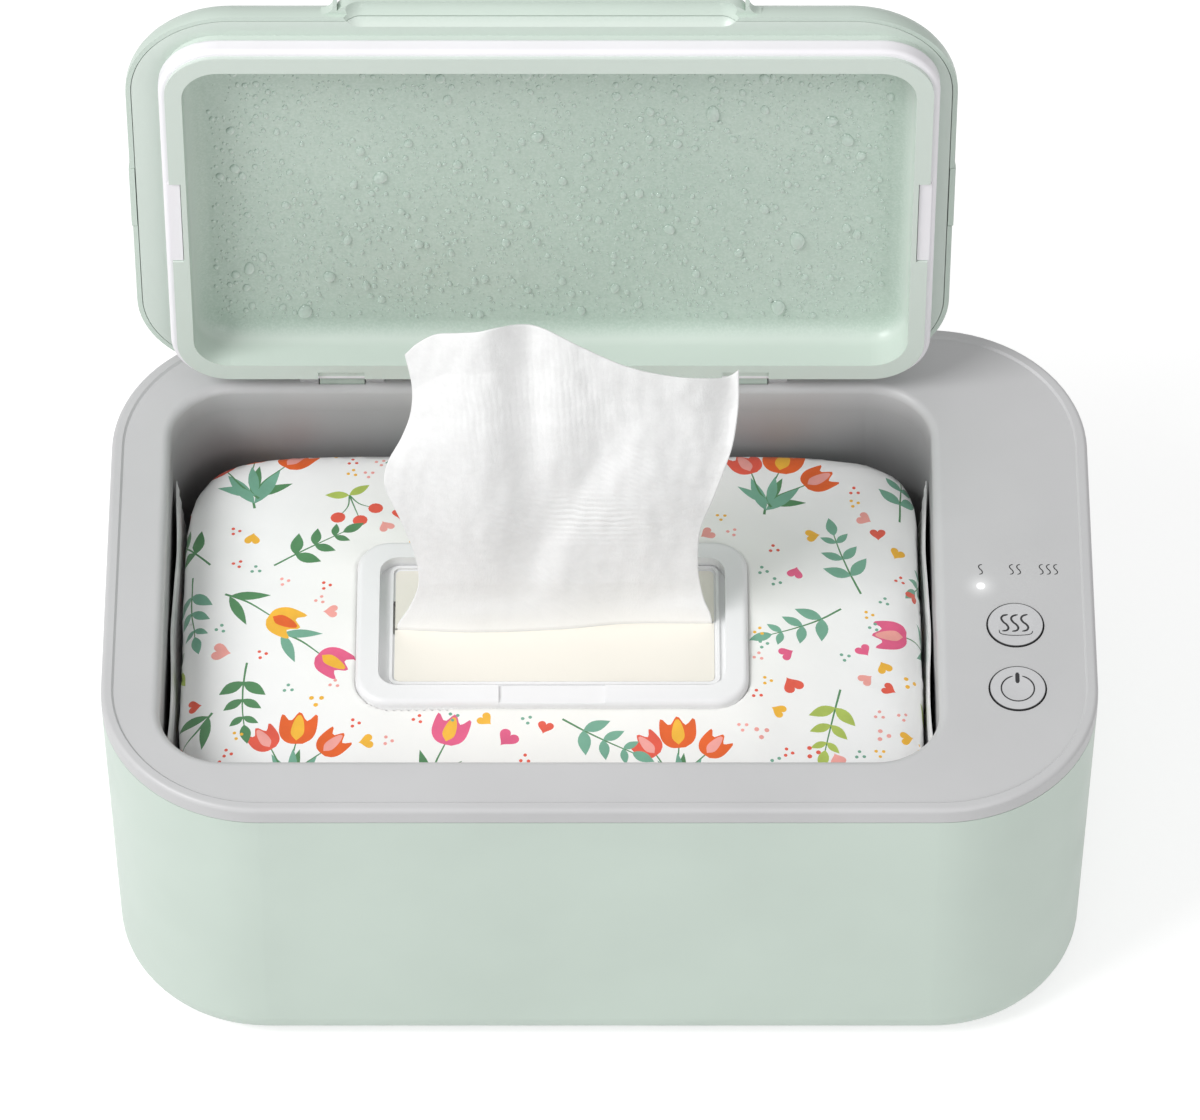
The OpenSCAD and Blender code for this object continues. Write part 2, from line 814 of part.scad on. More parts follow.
// Pressed tray that clamps the heater against the liner
module heater_retainer() {
    strap_end = 5;
    strap_w = 12;
    w = 2 * (retainer_screw_x + strap_end);
    window_pitch = plate_w / 3;
    window_w = window_pitch - 18;
    window_end = 15;
    color(steel)
        at_chamber()
            difference() {
                union() {
                    prism(plate_w, plate_d, plate_r, retainer_z0, pad_z0);
                    for (sy = [-1, 1])
                        translate([0, sy * retainer_screw_y, 0])
                            prism(w, strap_w, strap_end, retainer_z0, pad_z0);
                }
                for (sx = [-1, 1], sy = [-1, 1])
                    translate([sx * retainer_screw_x, sy * retainer_screw_y, 0])
                        peg(screw_hole_r, retainer_z0 - cut, pad_z0 + cut);
                for (k = [-1 : 1])
                    translate([k * window_pitch, 0, 0])
                        prism(window_w, plate_d - 2 * window_end, plate_r,
                              retainer_z0 - cut, pad_z0 + cut);
            }
}

module retainer_screws() {
    color(steel)
        at_retainer_screws()
            screw_up(retainer_z0, retainer_t + screw_bite);
}

// Sensor that reads the heater plate through the pad
module temperature_sensor() {
    color(rubber)
        at_chamber()
            translate([sensor_x, 0, 0]) {
                peg(sensor_r, pad_z0 + 1, plate_z0);
                peg(sensor_r - 1, pad_z0 - 1, pad_z0 + 1);
            }
}

// Cut-out fuse that lies against the heater plate
module thermal_fuse() {
    color(white)
        at_chamber()
            translate([-sensor_x, 0, plate_z0 - fuse_r]) {
                bar_x(fuse_r, fuse_l - 2);
                bar_x(0.5, fuse_l + 1);
            }
}

// Board screws and places
board_boss_r = 2.2;
board_pilot_r = 0.9;
board_head_r = 1.9;
board_y = heat_y;
board_screw_x = board_w / 2 - 2.6;
board_screw_y = board_l / 2 - 2.6;

module at_board_screws() {
    for (s = [-1, 1])
        translate([board_x + s * board_screw_x, board_y + s * board_screw_y, 0])
            children();
}

module at_lamps() {
    for (k = [-1 : 1])
        translate([panel_x + k * lamp_pitch, lamp_y, 0])
            children();
}

// Control board: carries the switches, the lamps and a few parts
module control_board() {
    chip = [7, 7, 1.2];
    chip_in = 14;
    cap_r = 2.5;
    cap_h = 7;
    cap_in = 10;
    color(board_green)
        difference() {
            union() {
                translate([board_x, board_y, 0])
                    prism(board_w, board_l, 1.5, board_z0, board_z1);
                translate([panel_x - 3, board_y - board_l / 2 + chip_in, board_z0 - chip[2] / 2])
                    cube(chip, center = true);
                for (x = [-5, 5])
                    translate([panel_x + x, board_y + board_l / 2 - cap_in, 0])
                        peg(cap_r, board_z0 - cap_h, board_z0);
            }
            at_board_screws()
                peg(1.2, board_z0 - cut, board_z1 + cut);
        }
}

module board_screws() {
    color(steel)
        at_board_screws() {
            peg(board_head_r, board_z0 - board_head_h, board_z0);
            peg(board_pilot_r, board_z0, board_z1 + board_bite);
        }
}

// Tact switches under the two buttons
switch_h = 3.4;
switch_stem = 0.9;

module tact_switches() {
    color(rubber)
        for (y = [heat_y, power_y])
            translate([panel_x, y, 0]) {
                translate([-3, -3, board_z1])
                    cube([6, 6, switch_h]);
                peg(1.75, board_z1 + switch_h, board_z1 + switch_h + switch_stem);
            }
}

// One small lamp under each light guide
led_h = 0.8;

module status_leds() {
    color(white)
        at_lamps()
            translate([0, 0, board_z1 + led_h / 2])
                cube([2, 1.4, led_h], center = true);
}

// Clear moulding that carries the light up to the deck's skin
module light_guide() {
    bar_h = 1.6;
    color([0.9, 0.93, 0.95])
        union() {
            at_lamps()
                peg(lamp_r, board_z1 + led_h + fit_gap, body_h - lamp_skin);
            translate([panel_x, lamp_y, deck_z0 - bar_h / 2])
                cube([2 * lamp_pitch, 2 * lamp_r, bar_h], center = true);
        }
}

// Push button: a cap, a retaining flange under the deck and a stem over its switch
module push_button(y) {
    flange = 1.2;
    flange_h = 0.9;
    switch_top = board_z1 + switch_h + switch_stem;
    dish_r = 40;
    color(grey)
        translate([panel_x, y, 0])
            difference() {
                union() {
                    peg(button_r, deck_z0 - fit_gap - flange_h, body_h + button_proud);
                    peg(button_r + flange, deck_z0 - fit_gap - flange_h, deck_z0 - fit_gap);
                    peg(1.6, switch_top + button_travel + 0.1, deck_z0);
                }
                translate([0, 0, body_h + button_proud + dish_r - 0.25])
                    sphere(dish_r);
            }
}

module button_heat() {
    push_button(heat_y);
}

module button_power() {
    push_button(power_y);
}

// Power socket: a flange sunk in the back wall, a round body behind it and a centre pin
socket_body_r = 5.2;
socket_back = 14;
socket_flange_t = 1.4;
socket_sunk = 1;
socket_face = body_d / 2 - inset(socket_z, shell_z1, body_draft);

module power_socket() {
    back = socket_face - socket_back;
    flange_face = socket_face - socket_sunk + socket_flange_t;
    color(rubber)
        translate([socket_x, 0, socket_z])
            rotate([-90, 0, 0]) {
                difference() {
                    union() {
                        peg(socket_body_r, back, socket_face);
                        peg(socket_flange_r, socket_face - socket_sunk, flange_face);
                    }
                    peg(socket_r, back + 3, flange_face + cut);
                }
                peg(1, back + 2, socket_face - 1);
            }
}

// Lead that runs straight, then turns through a right angle: first along its own +X
module bent_lead(r, run_a, run_b, bend) {
    rotate([0, 90, 0])
        cylinder(r = r, h = run_a - bend);
    translate([run_a - bend, 0, bend])
        rotate([90, 0, 0])
            rotate([0, 0, -90])
                rotate_extrude(angle = 90)
                    translate([bend, 0])
                        circle(r);
    translate([run_a, 0, bend])
        cylinder(r = r, h = run_b - bend);
}

// Lead from the socket's side round the liner's corner and up to the control board
module supply_lead() {
    bend = 8;
    start_x = socket_x + socket_body_r;
    start_y = socket_face - socket_back + 3;
    finish_x = board_x - board_w / 2 + 4;
    finish_y = board_y + board_l / 2 - 5;
    turn_y = start_y - 2 * bend;
    color(rubber)
        union() {
            translate([start_x, start_y, socket_z])
                rotate([90, 0, 0])
                    bent_lead(lead_r, finish_x - start_x, start_y - turn_y, bend);
            translate([finish_x, turn_y, socket_z])
                rotate([0, 0, -90])
                    bent_lead(lead_r, turn_y - finish_y, board_z0 - socket_z, bend);
        }
}

// Lead from the heating film sideways and up to the control board
module heater_lead() {
    bend = 8;
    start = chamber_x + plate_w / 2 + 1;
    low = film_z0 - lead_r;
    color(rubber)
        translate([start, lead_y, low])
            bent_lead(lead_r, board_x - board_w / 2 + 4 - start, board_z0 - low, bend);
}

// Steel pins of the two hinges
module hinge_pins() {
    color(steel)
        at_hinges()
            bar_x(pin_r, knuckle_w + 2 * knuckle_gap + 2 * ear_w - 0.4);
}

// Lid shell: the outer cover with its finger grip, clip slots and hinge knuckles
module lid_shell() {
    color(mint)
        opened()
            difference() {
                union() {
                    lid_form(0);
                    grip_ledge();
                    at_hinges()
                        bar_x(knuckle_r, knuckle_w);
                }
                translate([lid_x, lid_y, 0])
                    rounded_top(lid_w - 2 * lid_wall, lid_d - 2 * lid_wall, lid_r - lid_wall,
                                lid_z0 - cut, lid_z1 - tray_t, lid_edge_r - lid_wall / 2);
                // Rebate that takes the tray's flange
                translate([lid_x, lid_y, 0])
                    prism(lid_w - 2 * lid_lip, lid_d - 2 * lid_lip, lid_r - lid_lip,
                          lid_z0, lid_z0 + tray_t + fit_gap);
                grip_scoop();
                at_hinges()
                    bar_x(pin_r + pin_play, knuckle_w + cut);
                ear_gaps();
                at_clips()
                    clip_slot();
            }
}

// Outer form of the lid, grown by a margin
module lid_form(grow) {
    translate([lid_x, lid_y, 0])
        rounded_top(lid_w + 2 * grow, lid_d + 2 * grow, lid_r + grow, lid_z0, lid_z1 + grow,
                    lid_edge_r + grow);
}

// Room for the deck's hinge ears beside the lid's knuckles
module ear_gaps() {
    at_hinges()
        for (s = [-1, 1])
            translate([s * (ear_mid + knuckle_gap / 2), 0, 0])
                bar_x(knuckle_r + knuckle_gap, ear_w + knuckle_gap);
}

// The grip: a ledge along the front edge, with a scoop under it for the fingers
grip_end_r = 5;
grip_edge_r = 2;
grip_root = 8;
grip_z0 = lid_z0 + 1.2;
grip_z1 = grip_z0 + grip_t;

module at_grip() {
    translate([lid_x, lid_y - lid_d / 2, 0])
        children();
}

module grip_ledge() {
    at_grip()
        translate([0, (grip_root - grip_out) / 2, 0])
            rounded_top(grip_w, grip_root + grip_out, grip_end_r, grip_z0, grip_z1, grip_edge_r);
    // Soft run from the lid's edge into the ledge's ends
    at_grip()
        for (k = [0, 1])
            mirror([k, 0, 0])
                translate([grip_w / 2 + grip_out, -grip_out, 0])
                    difference() {
                        translate([-grip_out - 1, 0, grip_z0])
                            cube([grip_out + 1, grip_out + 1, grip_t - grip_edge_r]);
                        peg(grip_out, grip_z0 - cut, grip_z1);
                    }
}

// Cutter with round ends, sunk so that it leaves the scoop's height over the lid's edge
module grip_scoop() {
    at_grip()
        translate([0, scoop_h + 0.4 - sqrt(scoop_r * scoop_r - pow(scoop_r - scoop_h, 2)),
                   lid_z0 + scoop_h - scoop_r]) {
            bar_x(scoop_r, grip_w - 2 * scoop_r - 3);
            for (s = [-1, 1])
                translate([s * (grip_w / 2 - scoop_r - 1.5), 0, 0])
                    sphere(scoop_r);
        }
}

// Side clips that hold the tray's flange in the shell
clip_t = 1.2;
clip_proud = 0.3;
clip_foot = 2.6;

module at_clips() {
    for (s = [-1, 1])
        translate([lid_x + s * lid_w / 2, lid_y, lid_z0])
            rotate([0, 0, s > 0 ? 0 : 180])
                children();
}

module clip_slot() {
    translate([-lid_wall - cut, -clip_l / 2 - fit_gap, -cut])
        cube([lid_wall + 2 * cut, clip_l + 2 * fit_gap, cut + clip_h + fit_gap]);
}

// A clip: its outer bar follows the lid's side, and its foot lies on the tray's flange
module lid_clips() {
    color(mint)
        opened()
            intersection() {
                at_clips() {
                    translate([-clip_t, -clip_l / 2, 0])
                        cube([clip_t + cut, clip_l, clip_h]);
                    translate([-clip_t - clip_foot, -clip_l / 2, tray_t + fit_gap])
                        cube([clip_foot + clip_t, clip_l, clip_h - tray_t - fit_gap]);
                }
                lid_form(clip_proud);
            }
}

// Lid tray: the inner panel that plugs the chamber's mouth, with a deep recess
module lid_tray() {
    edge = lid_lip + fit_gap;
    recess_w = tray_w - 2 * tray_lip;
    recess_d = tray_d - 2 * tray_lip_end;
    recess_plan_r = tray_r - tray_lip;
    color(mint_inner)
        opened()
            difference() {
                union() {
                    translate([lid_x, lid_y, 0])
                        prism(lid_w - 2 * edge, lid_d - 2 * edge, lid_r - edge, lid_z0, lid_z0 + tray_t);
                    translate([chamber_x, chamber_y, 0])
                        prism(tray_w, tray_d, tray_r, tray_z0, lid_z0);
                    translate([chamber_x, chamber_y, 0])
                        prism(recess_w + 2 * tray_t, recess_d + 2 * tray_t, recess_plan_r + tray_t,
                              tray_z0 + 1, tray_floor + tray_t);
                }
                translate([chamber_x, chamber_y, 0])
                    rounded_top(recess_w, recess_d, recess_plan_r, tray_z0 - cut, tray_floor, recess_r);
                // Notches in the hinge edge, and the side windows that show the seal's lugs
                for (s = [-1, 1])
                    translate([lid_x + s * hinge_span - notch_w / 2,
                               chamber_y + tray_d / 2 - notch_deep, tray_z0 - cut])
                        cube([notch_w, notch_deep + cut, cut + seal_lift]);
                at_lugs()
                    translate([-lug_deep, -lug_l / 2, tray_z0 - cut])
                        cube([lug_deep + cut, lug_l, cut + lug_h]);
                grip_scoop();
                ear_gaps();
            }
}

// Both sides of the tray, at the middle of its lug windows; +X points out
module at_lugs() {
    translate([chamber_x, lid_y + 1, 0])
        for (k = [0, 1])
            mirror([k, 0, 0])
                translate([tray_w / 2, 0, 0])
                    children();
}

// Silicone seal: a round-edged band stretched over the tray, with a lug on each side
module lid_seal() {
    edge = 1.2;
    z0 = seal_z0;
    z1 = seal_z0 + seal_h;
    color(white)
        opened()
            union() {
                difference() {
                    translate([chamber_x, chamber_y, 0])
                        swept_block(seal_w, seal_d, seal_r, z0 + edge, z1 - edge) {
                            translate([0, z0 + edge])
                                square([seal_r, seal_h - 2 * edge]);
                            translate([0, z0])
                                square([seal_r - edge, seal_h]);
                            for (z = [z0 + edge, z1 - edge])
                                translate([seal_r - edge, z])
                                    circle(edge);
                        }
                    translate([chamber_x, chamber_y, 0])
                        prism(tray_w, tray_d, tray_r, z0 - cut, z1 + cut);
                }
                at_lugs()
                    translate([fit_gap - lug_deep, fit_gap - lug_l / 2, tray_z0 + 0.6])
                        cube([lug_deep + fit_gap, lug_l - 2 * fit_gap, lug_h - 0.6 - fit_gap]);
            }
}

// Contents: a soft pack of wipes, its frame and the wipe that is pulled up
pack_x = chamber_x + 1.5;
pack_y = chamber_y - 0.4;
pack_z0 = chamber_z + 0.3;
pack_power = 6;
flap_x = chamber_x + 0.5;
flap_y = chamber_y - 5;
flap_z0 = pack_z0 + pack_h + 0.2;
flap_r = 9;
flap_ring = 6;
flap_floor = 1.2;
slot_w = wipe_w + 3;
slot_d = 12;
slot_play = 0.65;
slot_r = 1.5;

// Signed power, for shapes between an ellipse and a box
function spow(v, p) = sign(v) * pow(abs(v), p);

// Puffed pack: rings between its two flat faces
module wipes_pack() {
    around = 48;
    rings = 17;
    pts = [
        for (j = [1 : rings - 1])
            let (f = -90 + 180 * j / rings, r = spow(cos(f), 2 / pack_power))
                for (i = [0 : around - 1])
                    let (t = 360 * i / around)
                        [
                            pack_x + pack_w / 2 * r * spow(cos(t), 2 / pack_power),
                            pack_y + pack_d / 2 * r * spow(sin(t), 2 / pack_power),
                            pack_z0 + pack_h / 2 * (1 + spow(sin(f), 2 / pack_power))
                        ],
        [pack_x, pack_y, pack_z0],
        [pack_x, pack_y, pack_z0 + pack_h]
    ];
    last = (rings - 1) * around;
    faces = [
        for (j = [0 : rings - 3], i = [0 : around - 1])
            let (a = j * around + i, b = j * around + (i + 1) % around)
                [a, a + around, b],
        for (j = [0 : rings - 3], i = [0 : around - 1])
            let (a = j * around + i, b = j * around + (i + 1) % around)
                [b, a + around, b + around],
        for (i = [0 : around - 1])
            [i, (i + 1) % around, last],
        for (i = [0 : around - 1])
            [last - around + (i + 1) % around, last - around + i, last + 1]
    ];
    color(white)
        polyhedron(pts, faces);
}

// Frame welded to the pack, with a sunk panel and a slot for the wipe
module pack_frame() {
    z1 = flap_z0 + flap_h;
    thumb_deep = 0.7;
    color(white)
        translate([flap_x, flap_y, 0])
            difference() {
                rounded_top(flap_w, flap_d, flap_r, flap_z0, z1, 1.6);
                translate([-thumb_w / 2, -flap_d / 2 - cut, z1 - thumb_deep])
                    cube([thumb_w, flap_ring + 2 * cut, thumb_deep + cut]);
                rounded_top(flap_w - 2 * flap_ring, flap_d - 2 * flap_ring, flap_r - 4,
                            flap_z0 + flap_floor, z1 + 2 * cut, 1);
                translate([0, slot_y - flap_y, 0])
                    prism(slot_w, slot_d, slot_r, flap_z0 - cut, z1);
            }
}

// Outline and folds of the wipe: u runs across it and v up it
wipe_x = flap_x + 0.5;
wipe_y = flap_y - 1;
slot_y = wipe_y - wipe_t / 2 - slot_play + slot_d / 2;
wipe_z0 = flap_z0 + 0.4;
wipe_lean = 13;

function wipe_left(v) = -wipe_w / 2 + 4.6 * sin(180 * v) - 7.5 * pow(sin(180 * min(1, v * 1.15)), 3)
    + 2 * v;
function wipe_right(v) = wipe_w / 2 - 5 * sin(200 * min(v, 0.9)) + 9 * v * v;
function wipe_top(u) = wipe_h * (0.9 + 0.1 * cos(250 * (u - 0.34)) - 0.06 * u - 0.07 * pow(1 - u, 6));
function wipe_fold(u, v) = (4.5 * sin(430 * u + 60) + 2 * sin(900 * u + 140 * v)) * (0.25 + 0.75 * v)
    + 3 * sin(180 * v) * sin(180 * u);
function wipe_point(u, v, side) = [
    wipe_x + wipe_left(v) + (wipe_right(v) - wipe_left(v)) * u,
    wipe_y + wipe_lean * v * v + wipe_fold(u, v) * min(1, 4 * v) + side * wipe_t / 2,
    wipe_z0 + wipe_top(u) * v
];

// Sheet with a front and a back face
module wipe() {
    n = 22;
    row = n + 1;
    face_n = row * row;
    pts = [
        for (side = [-1, 1], j = [0 : n], i = [0 : n])
            wipe_point(i / n, j / n, side)
    ];
    function at(i, j, k) = k * face_n + j * row + i;
    faces = [
        for (j = [0 : n - 1], i = [0 : n - 1])
            each [
                [at(i, j, 0), at(i, j + 1, 0), at(i + 1, j, 0)],
                [at(i + 1, j, 0), at(i, j + 1, 0), at(i + 1, j + 1, 0)],
                [at(i, j, 1), at(i + 1, j, 1), at(i, j + 1, 1)],
                [at(i + 1, j, 1), at(i + 1, j + 1, 1), at(i, j + 1, 1)]
            ],
        for (i = [0 : n - 1])
            each [
                [at(i, 0, 0), at(i + 1, 0, 0), at(i, 0, 1)],
                [at(i + 1, 0, 0), at(i + 1, 0, 1), at(i, 0, 1)],
                [at(i, n, 0), at(i, n, 1), at(i + 1, n, 0)],
                [at(i + 1, n, 0), at(i, n, 1), at(i + 1, n, 1)],
                [at(0, i, 0), at(0, i, 1), at(0, i + 1, 0)],
                [at(0, i + 1, 0), at(0, i, 1), at(0, i + 1, 1)],
                [at(n, i, 0), at(n, i + 1, 0), at(n, i, 1)],
                [at(n, i + 1, 0), at(n, i + 1, 1), at(n, i, 1)]
            ]
    ];
    color(white)
        polyhedron(pts, faces);
}

outer_shell();
base_cover();
base_screws();
rubber_feet();
deck_frame();
chamber_liner();
liner_screws();
heater_plate();
heater_film();
insulation_pad();
heater_retainer();
retainer_screws();
temperature_sensor();
thermal_fuse();
control_board();
board_screws();
tact_switches();
status_leds();
light_guide();
button_heat();
button_power();
power_socket();
supply_lead();
heater_lead();
hinge_pins();
lid_shell();
lid_tray();
lid_seal();
lid_clips();
wipes_pack();
pack_frame();
wipe();
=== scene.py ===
import math
import random

import bmesh
import bpy
import numpy as np
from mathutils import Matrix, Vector, geometry, noise


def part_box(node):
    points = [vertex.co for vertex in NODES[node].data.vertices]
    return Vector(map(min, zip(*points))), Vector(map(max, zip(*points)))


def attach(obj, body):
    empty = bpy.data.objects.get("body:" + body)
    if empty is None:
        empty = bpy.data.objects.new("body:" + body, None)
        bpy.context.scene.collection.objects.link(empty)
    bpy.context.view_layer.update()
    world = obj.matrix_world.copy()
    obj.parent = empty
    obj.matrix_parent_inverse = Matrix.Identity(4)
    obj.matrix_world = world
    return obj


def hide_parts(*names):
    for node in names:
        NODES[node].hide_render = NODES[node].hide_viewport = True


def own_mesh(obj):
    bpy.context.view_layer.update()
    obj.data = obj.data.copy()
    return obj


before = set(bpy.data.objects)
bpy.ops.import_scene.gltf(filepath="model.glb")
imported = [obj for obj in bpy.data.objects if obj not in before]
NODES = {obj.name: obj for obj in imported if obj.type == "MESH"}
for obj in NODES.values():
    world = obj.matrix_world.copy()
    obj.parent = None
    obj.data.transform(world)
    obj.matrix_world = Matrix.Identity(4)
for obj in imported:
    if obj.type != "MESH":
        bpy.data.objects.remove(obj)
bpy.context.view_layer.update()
scene = bpy.context.scene

# Camera: its angle above the horizon, its distance and what it looks at
ELEVATION = math.radians(49.57)
DISTANCE = 2.3952
TARGET = Vector((0.00013, 0.0, 0.10229))
LENS = 272.8
SENSOR = 36.0
IMAGE_W, IMAGE_H = 1200, 1120

BACK = Vector((0.0, -math.cos(ELEVATION), math.sin(ELEVATION)))
EYE = TARGET + BACK * DISTANCE
RIGHT = Vector((1.0, 0.0, 0.0))
UP = Vector((0.0, math.sin(ELEVATION), math.cos(ELEVATION)))

# Places of the deck, the mouth, the buttons and the lamp, as part.scad has them
DECK_Z = 0.1000
MOUTH_X, MOUTH_Y = -0.0130, -0.0016
PANEL_X, HEAT_Y, POWER_Y = 0.1090, -0.0205, -0.0421
BUTTON_EDGE = (0.00708, 0.00722)
BUTTON_TOP = 0.10005
LAMP = (0.1003, -0.0070, DECK_Z)


def ray(u, v):
    """Direction from the eye through the image point u, v."""
    k = SENSOR / LENS / IMAGE_W
    return -BACK + RIGHT * ((u - IMAGE_W / 2) * k) - UP * ((v - IMAGE_H / 2) * k)


def new_object(name, data):
    """An object for some data, linked into the scene."""
    obj = bpy.data.objects.new(name, data)
    scene.collection.objects.link(obj)
    return obj


# Colour and material helpers


def lin(r, g, b):
    """Linear colour of an sRGB one, given from 0 to 255."""
    return tuple(
        c / 12.92 if c <= 0.04045 else ((c + 0.055) / 1.055) ** 2.4
        for c in (r / 255, g / 255, b / 255)
    ) + (1.0,)


class Paint:
    """A node tree with a Principled shader and short calls for its nodes."""

    def __init__(self, name):
        self.mat = bpy.data.materials.new(name)
        self.mat.use_nodes = True
        self.tree = self.mat.node_tree
        self.tree.nodes.clear()
        self.out = self.add("ShaderNodeOutputMaterial")
        self.bsdf = self.add("ShaderNodeBsdfPrincipled")
        self.link(self.bsdf.outputs[0], self.out.inputs[0])
        self.coord = self.add("ShaderNodeTexCoord").outputs["Object"]

    def add(self, kind, **values):
        node = self.tree.nodes.new(kind)
        for key, value in values.items():
            setattr(node, key, value)
        return node

    def link(self, a, b):
        self.tree.links.new(a, b)

    def set(self, **values):
        for key, value in values.items():
            self.bsdf.inputs[key.replace("_", " ")].default_value = value

    def noise(self, scale, detail=2.0, rough=0.5, vector=None):
        node = self.add("ShaderNodeTexNoise")
        node.inputs["Scale"].default_value = scale
        node.inputs["Detail"].default_value = detail
        node.inputs["Roughness"].default_value = rough
        self.link(vector or self.coord, node.inputs["Vector"])
        return node.outputs["Fac"]

    def stretch(self, scale):
        node = self.add("ShaderNodeMapping")
        node.inputs["Scale"].default_value = scale
        self.link(self.coord, node.inputs["Vector"])
        return node.outputs[0]

    def voronoi(self, scale):
        node = self.add("ShaderNodeTexVoronoi")
        node.inputs["Scale"].default_value = scale
        self.link(self.coord, node.inputs["Vector"])
        return node.outputs["Distance"]

    def ranged(self, value, a, b, c, d):
        node = self.add("ShaderNodeMapRange")
        self.link(value, node.inputs["Value"])
        for socket, number in zip(("From Min", "From Max", "To Min", "To Max"), (a, b, c, d)):
            node.inputs[socket].default_value = number
        return node.outputs["Result"]

    def math(self, kind, a, b):
        node = self.add("ShaderNodeMath", operation=kind)
        for socket, value in zip(node.inputs, (a, b)):
            if isinstance(value, (int, float)):
                socket.default_value = value
            else:
                self.link(value, socket)
        return node.outputs[0]

    def mix(self, factor, a, b):
        node = self.add("ShaderNodeMix", data_type="RGBA")
        if isinstance(factor, float):
            node.inputs[0].default_value = factor
        else:
            self.link(factor, node.inputs[0])
        for socket, value in zip((node.inputs[6], node.inputs[7]), (a, b)):
            if isinstance(value, tuple):
                socket.default_value = value
            else:
                self.link(value, socket)
        return node.outputs[2]

    def colour(self, socket):
        self.link(socket, self.bsdf.inputs["Base Color"])

    def base(self):
        """The socket that gives the base colour so far."""
        return self.bsdf.inputs["Base Color"].links[0].from_socket

    def rough(self, socket):
        self.link(socket, self.bsdf.inputs["Roughness"])

    def bump(self, height, distance, strength=1.0):
        node = self.add("ShaderNodeBump")
        node.inputs["Distance"].default_value = distance
        node.inputs["Strength"].default_value = strength
        self.link(height, node.inputs["Height"])
        self.link(node.outputs[0], self.bsdf.inputs["Normal"])

    def component(self, axis):
        node = self.add("ShaderNodeSeparateXYZ")
        self.link(self.coord, node.inputs[0])
        return node.outputs[axis]

    def near(self, point, inner, outer):
        """1 within inner of a point and 0 beyond outer."""
        node = self.add("ShaderNodeVectorMath", operation="DISTANCE")
        self.link(self.coord, node.inputs[0])
        node.inputs[1].default_value = point
        return self.ranged(node.outputs["Value"], inner, outer, 1.0, 0.0)


def shade(colour, k):
    """A linear colour made k times as bright."""
    return tuple(min(1.0, c * k) for c in colour[:3]) + (1.0,)


def moulded(name, colour, rough=0.42, grain=2600.0, depth=0.00001, vary=0.03, metallic=0.0):
    """Moulded plastic, rubber or metal: slow drifts of tone, and a fine grain."""
    p = Paint(name)
    drift = p.ranged(p.noise(22.0, 3.0), 0.3, 0.7, 0.0, 1.0)
    p.colour(p.mix(drift, shade(colour, 1 - vary), shade(colour, 1 + vary)))
    p.rough(p.ranged(p.noise(60.0, 4.0), 0.3, 0.7, rough - 0.04, rough + 0.05))
    p.bump(p.noise(grain, 2.0), depth)
    p.set(Metallic=metallic)
    return p


MINT = lin(203, 217, 207)
MINT_TRAY = lin(190, 209, 198)
DECK = lin(199, 199, 200)
LINER = lin(170, 170, 171)

mint = moulded("mint_shell", MINT, 0.40)
tray = moulded("mint_tray", MINT_TRAY, 0.36)
deck = moulded("deck_grey", DECK, 0.38)
liner = moulded("liner_grey", LINER, 0.42)
button = moulded("button_grey", lin(203, 203, 205), 0.36)
seal = moulded("seal_white", lin(243, 241, 245), 0.34, 1500.0)
frame_white = moulded("frame_white", lin(240, 240, 241), 0.40, 2400.0, 0.000004, 0.015)
frame_white.set(Coat_Weight=0.12, Coat_Roughness=0.4)
rubber = moulded("foot_rubber", lin(72, 74, 74), 0.62, 1800.0, 0.00003)
screw = moulded("screw_steel", lin(190, 191, 194), 0.32, 3000.0, 0.00001, 0.05, 1.0)
pin = moulded("pin_steel", lin(200, 201, 204), 0.22, 4000.0, 0.000005, 0.03, 1.0)
plate = moulded("heater_aluminium", lin(214, 215, 217), 0.34, 1200.0, 0.00001, 0.04, 1.0)
film = moulded("film_copper", lin(206, 128, 62), 0.35, 900.0, 0.00001, 0.10)
foam = moulded("pad_foam", lin(222, 220, 212), 0.85, 900.0, 0.0002, 0.05)
retainer = moulded("retainer_steel", lin(196, 197, 200), 0.36, 1500.0, 0.00001, 0.05, 1.0)
black = moulded("part_black", lin(34, 34, 36), 0.38, 2200.0, 0.00001, 0.10)
white = moulded("part_white", lin(240, 240, 236), 0.24, 2200.0, 0.000005, 0.02)
board = moulded("board_green", lin(30, 110, 72), 0.28, 700.0, 0.00001, 0.12)
guide = moulded("guide_clear", lin(232, 238, 242), 0.10, 2200.0, 0.000003, 0.02)
guide.set(Transmission_Weight=0.8, IOR=1.49)
lead = moulded("lead_black", lin(44, 44, 46), 0.50, 2000.0, 0.00002, 0.08)
clip = moulded("clip_mint", shade(MINT, 1.02), 0.36)

# Painted shade: the buttons' sides are coloured dark, for the shade of the gap round them
unshaded_top = button.math(
    "MAXIMUM", *(button.near((PANEL_X, y, DECK_Z), *BUTTON_EDGE) for y in (HEAT_Y, POWER_Y))
)
button.colour(button.mix(unshaded_top, lin(62, 62, 64), button.base()))

# The lit lamp shines through the thin skin of the deck
core = deck.near(LAMP, 0.0006, 0.0013)
halo = deck.math("POWER", deck.near(LAMP, 0.0, 0.0060), 2.4)
glow = deck.math("ADD", deck.math("MULTIPLY", core, 0.75), deck.math("MULTIPLY", halo, 0.35))
deck.set(Emission_Color=(1.0, 1.0, 1.0, 1.0))
deck.link(glow, deck.bsdf.inputs["Emission Strength"])
